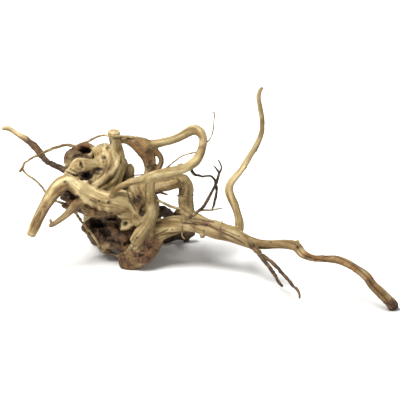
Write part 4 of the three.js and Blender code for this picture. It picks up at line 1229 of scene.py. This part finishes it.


# Weathered root wood: softwood-brown heart bleached to straw by washing and sun. The eye gets a matt
# surface with fine streaks along the grain, a painted highlight on the crests together with wear, painted
# shade on the undersides, rust-brown where tannin stays, painted shade in the hollows together with
# dirt, and scraps of dark purple-brown bark.
def weatheredRootWood():
    material = bpy.data.materials.new("weathered root wood")
    material.use_nodes = True
    tree = material.node_tree
    tree.nodes.clear()

    def wired(kind, output, inputs, **settings):
        node = tree.nodes.new("ShaderNode" + kind)
        for key, value in settings.items():
            setattr(node, key, value)
        for key, value in inputs.items():
            if isinstance(value, bpy.types.NodeSocket):
                tree.links.new(value, node.inputs[key])
            else:
                node.inputs[key].default_value = value
        return node.outputs[output]

    def noiseAt(vector, scale, detail):
        inputs = {"Vector": vector, "Scale": scale, "Detail": detail, "Roughness": 0.6}
        return wired("TexNoise", "Fac", inputs)

    def grainNoise(name, detail):
        scale = [1 / size for size in rootWood[name]]
        return noiseAt(wired("Mapping", "Vector", {"Vector": grain, "Scale": scale}), 1, detail)

    def spotNoise(name, detail=3):
        return noiseAt(place, 1000 / rootWood[name], detail)

    def ranged(value, low, high, bottom, top):
        inputs = {"Value": value, "From Min": low, "From Max": high, "To Min": bottom, "To Max": top}
        return wired("MapRange", "Result", inputs)

    def sums(kind, first, second):
        return wired("Math", 0, {0: first, 1: second}, operation=kind)

    def attribute(name, most=1):
        return sums("MULTIPLY", wired("Attribute", "Fac", {}, attribute_name=name), most)

    def mixed(share, under, over):
        over = linear(rootWood[over]) if isinstance(over, str) else over
        return wired("Mix", 2, {0: share, 6: under, 7: over}, data_type="RGBA")

    def ramp(value, stops):
        tone = wired("ValToRGB", "Color", {"Fac": value})
        elements = tone.node.color_ramp.elements
        while len(elements) < len(stops):
            elements.new(0.5)
        for element, (position, colour) in zip(elements, stops):
            element.position = position
            element.color = linear(rootWood[colour])
        return tone

    grain = wired("Attribute", "Vector", {}, attribute_name="grain")
    place = wired("TexCoord", "Object", {})
    streak = grainNoise("grain", 4)
    broad = grainNoise("broadGrain", 2)
    fibre = grainNoise("fibre", 2)
    patch = spotNoise("patch")
    blotch = spotNoise("blotch")
    pore = spotNoise("pore")

    calm = ranged(spotNoise("calm", 2), 0.4, 0.6, 0.55, 0.9)
    blend = wired("Mix", 0, {0: calm, 2: streak, 3: broad}, data_type="FLOAT")
    wood = ramp(blend, [(0.32, "shade"), (0.43, "tan"), (0.52, "straw"), (0.63, "bleachedAndHighlight")])
    wood = mixed(ranged(patch, 0.48, 0.66, 0, 0.6), wood, "weathered")
    wood = mixed(ranged(patch, 0.42, 0.3, 0, 0.35), wood, "barkPurple")
    # Painted highlight on the crests, together with wear.
    wood = mixed(attribute("crest", 0.4), wood, "bleachedAndHighlight")
    # Painted shade on the undersides, and the darker tone of dull limbs and spots.
    wood = mixed(attribute("dullAndShade", 0.85), wood, ramp(blend, [(0.38, "dullDark"), (0.6, "dullLight")]))
    wood = mixed(ranged(fibre, 0.5, 0.68, 0, 0.32), wood, "shade")
    rustTone = ramp(blotch, [(0.4, "rustDark"), (0.58, "rustLight")])
    wood = mixed(attribute("rust", 0.8), wood, rustTone)
    barkTone = ramp(
        sums("ADD", sums("MULTIPLY", pore, 0.5), sums("MULTIPLY", blotch, 0.5)),
        [(0.36, "barkDark"), (0.46, "barkBrown"), (0.55, "barkPurple"), (0.66, "barkTan")],
    )
    # Painted highlight on the bark's crests.
    barkTone = mixed(attribute("crest", 0.3), barkTone, "barkTan")
    barkTone = mixed(attribute("rust", 0.8), barkTone, rustTone)
    wood = mixed(attribute("bark"), wood, barkTone)
    wood = mixed(ranged(pore, 0.62, 0.7, 0, 0.55), wood, "shade")
    # Painted shade in the hollows, pits and slits, together with dirt.
    wood = mixed(attribute("hollow", 0.85), wood, "dirtAndShade")

    bump = {}
    for height, (strength, distance) in zip((streak, fibre, pore), rootWood["bumps"]):
        inputs = {"Strength": strength, "Distance": distance, "Height": height} | bump
        bump = {"Normal": wired("Bump", "Normal", inputs)}
    roughness = ranged(streak, 0.3, 0.7, 0.8, 0.62)
    inputs = {"Base Color": wood, "Roughness": roughness, "Specular IOR Level": 0.3} | bump
    shader = wired("BsdfPrincipled", "BSDF", inputs)
    output = tree.nodes.new("ShaderNodeOutputMaterial")
    tree.links.new(shader, output.inputs["Surface"])
    return material


woodMaterial = weatheredRootWood()
for piece in (rightBody, crownBody, rootletBody):
    piece.data.materials.clear()
    piece.data.materials.append(woodMaterial)
    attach(piece, "root")
    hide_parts("moorwood_root")

# A plain pale floor and soft light from above, a little from the left, with a weak one from the right.
studio = {
    "floorSize": 14,
    "floorTone": "#f4f3f0",
    "floorRoughness": 0.9,
    "worldTone": "#ffffff",
    "worldStrength": 0.33,
    "key": {"place": (-0.9, -0.5, 2.2), "size": 1.3, "power": 107},
    "fill": {"place": (1.6, -1.8, 0.9), "size": 1.2, "power": 4},
    "aim": (0, 0, 0.08),
    "sensor": 36,
    "clip": (0.1, 50),
}


def makeFloor():
    half = studio["floorSize"] / 2
    corners = [(-half, -half, 0), (half, -half, 0), (half, half, 0), (-half, half, 0)]
    mesh = bpy.data.meshes.new("floor")
    mesh.from_pydata(corners, [], [(0, 1, 2, 3)])
    floor = placed("floor", mesh)
    material = bpy.data.materials.new("matt studio paper")
    material.use_nodes = True
    shader = material.node_tree.nodes["Principled BSDF"]
    shader.inputs["Base Color"].default_value = linear(studio["floorTone"])
    shader.inputs["Roughness"].default_value = studio["floorRoughness"]
    mesh.materials.append(material)


def makeLight(name):
    light = bpy.data.lights.new(name + " light", "AREA")
    light.shape = "DISK"
    light.size = studio[name]["size"]
    light.energy = studio[name]["power"]
    lamp = placed(name + " light", light)
    lamp.location = studio[name]["place"]
    lamp.rotation_euler = (Vector(studio["aim"]) - lamp.location).to_track_quat("-Z", "Y").to_euler()


makeFloor()
makeLight("key")
makeLight("fill")
world = bpy.data.worlds.new("studio world")
world.use_nodes = True
world.node_tree.nodes["Background"].inputs["Color"].default_value = linear(studio["worldTone"])
world.node_tree.nodes["Background"].inputs["Strength"].default_value = studio["worldStrength"]
bpy.context.scene.world = world
bpy.context.scene.view_settings.view_transform = "Standard"

# The camera stands where the front view's eye is: its frame is that view's square.
camera = bpy.data.cameras.new("camera")
camera.sensor_width = studio["sensor"]
camera.lens = studio["sensor"] * frontView["eyeDistance"] / frontView["side"]
camera.clip_start, camera.clip_end = studio["clip"]
eye = placed("camera", camera)
backwards = Vector(towardsEye)
eye.location = Vector(standing([[viewMiddle, viewMiddle, 0]])[0])
eye.location += backwards * frontView["eyeDistance"] / 1000
eye.rotation_euler = (-backwards).to_track_quat("-Z", "Y").to_euler()
bpy.context.scene.camera = eye
print("stage: camera and light set")
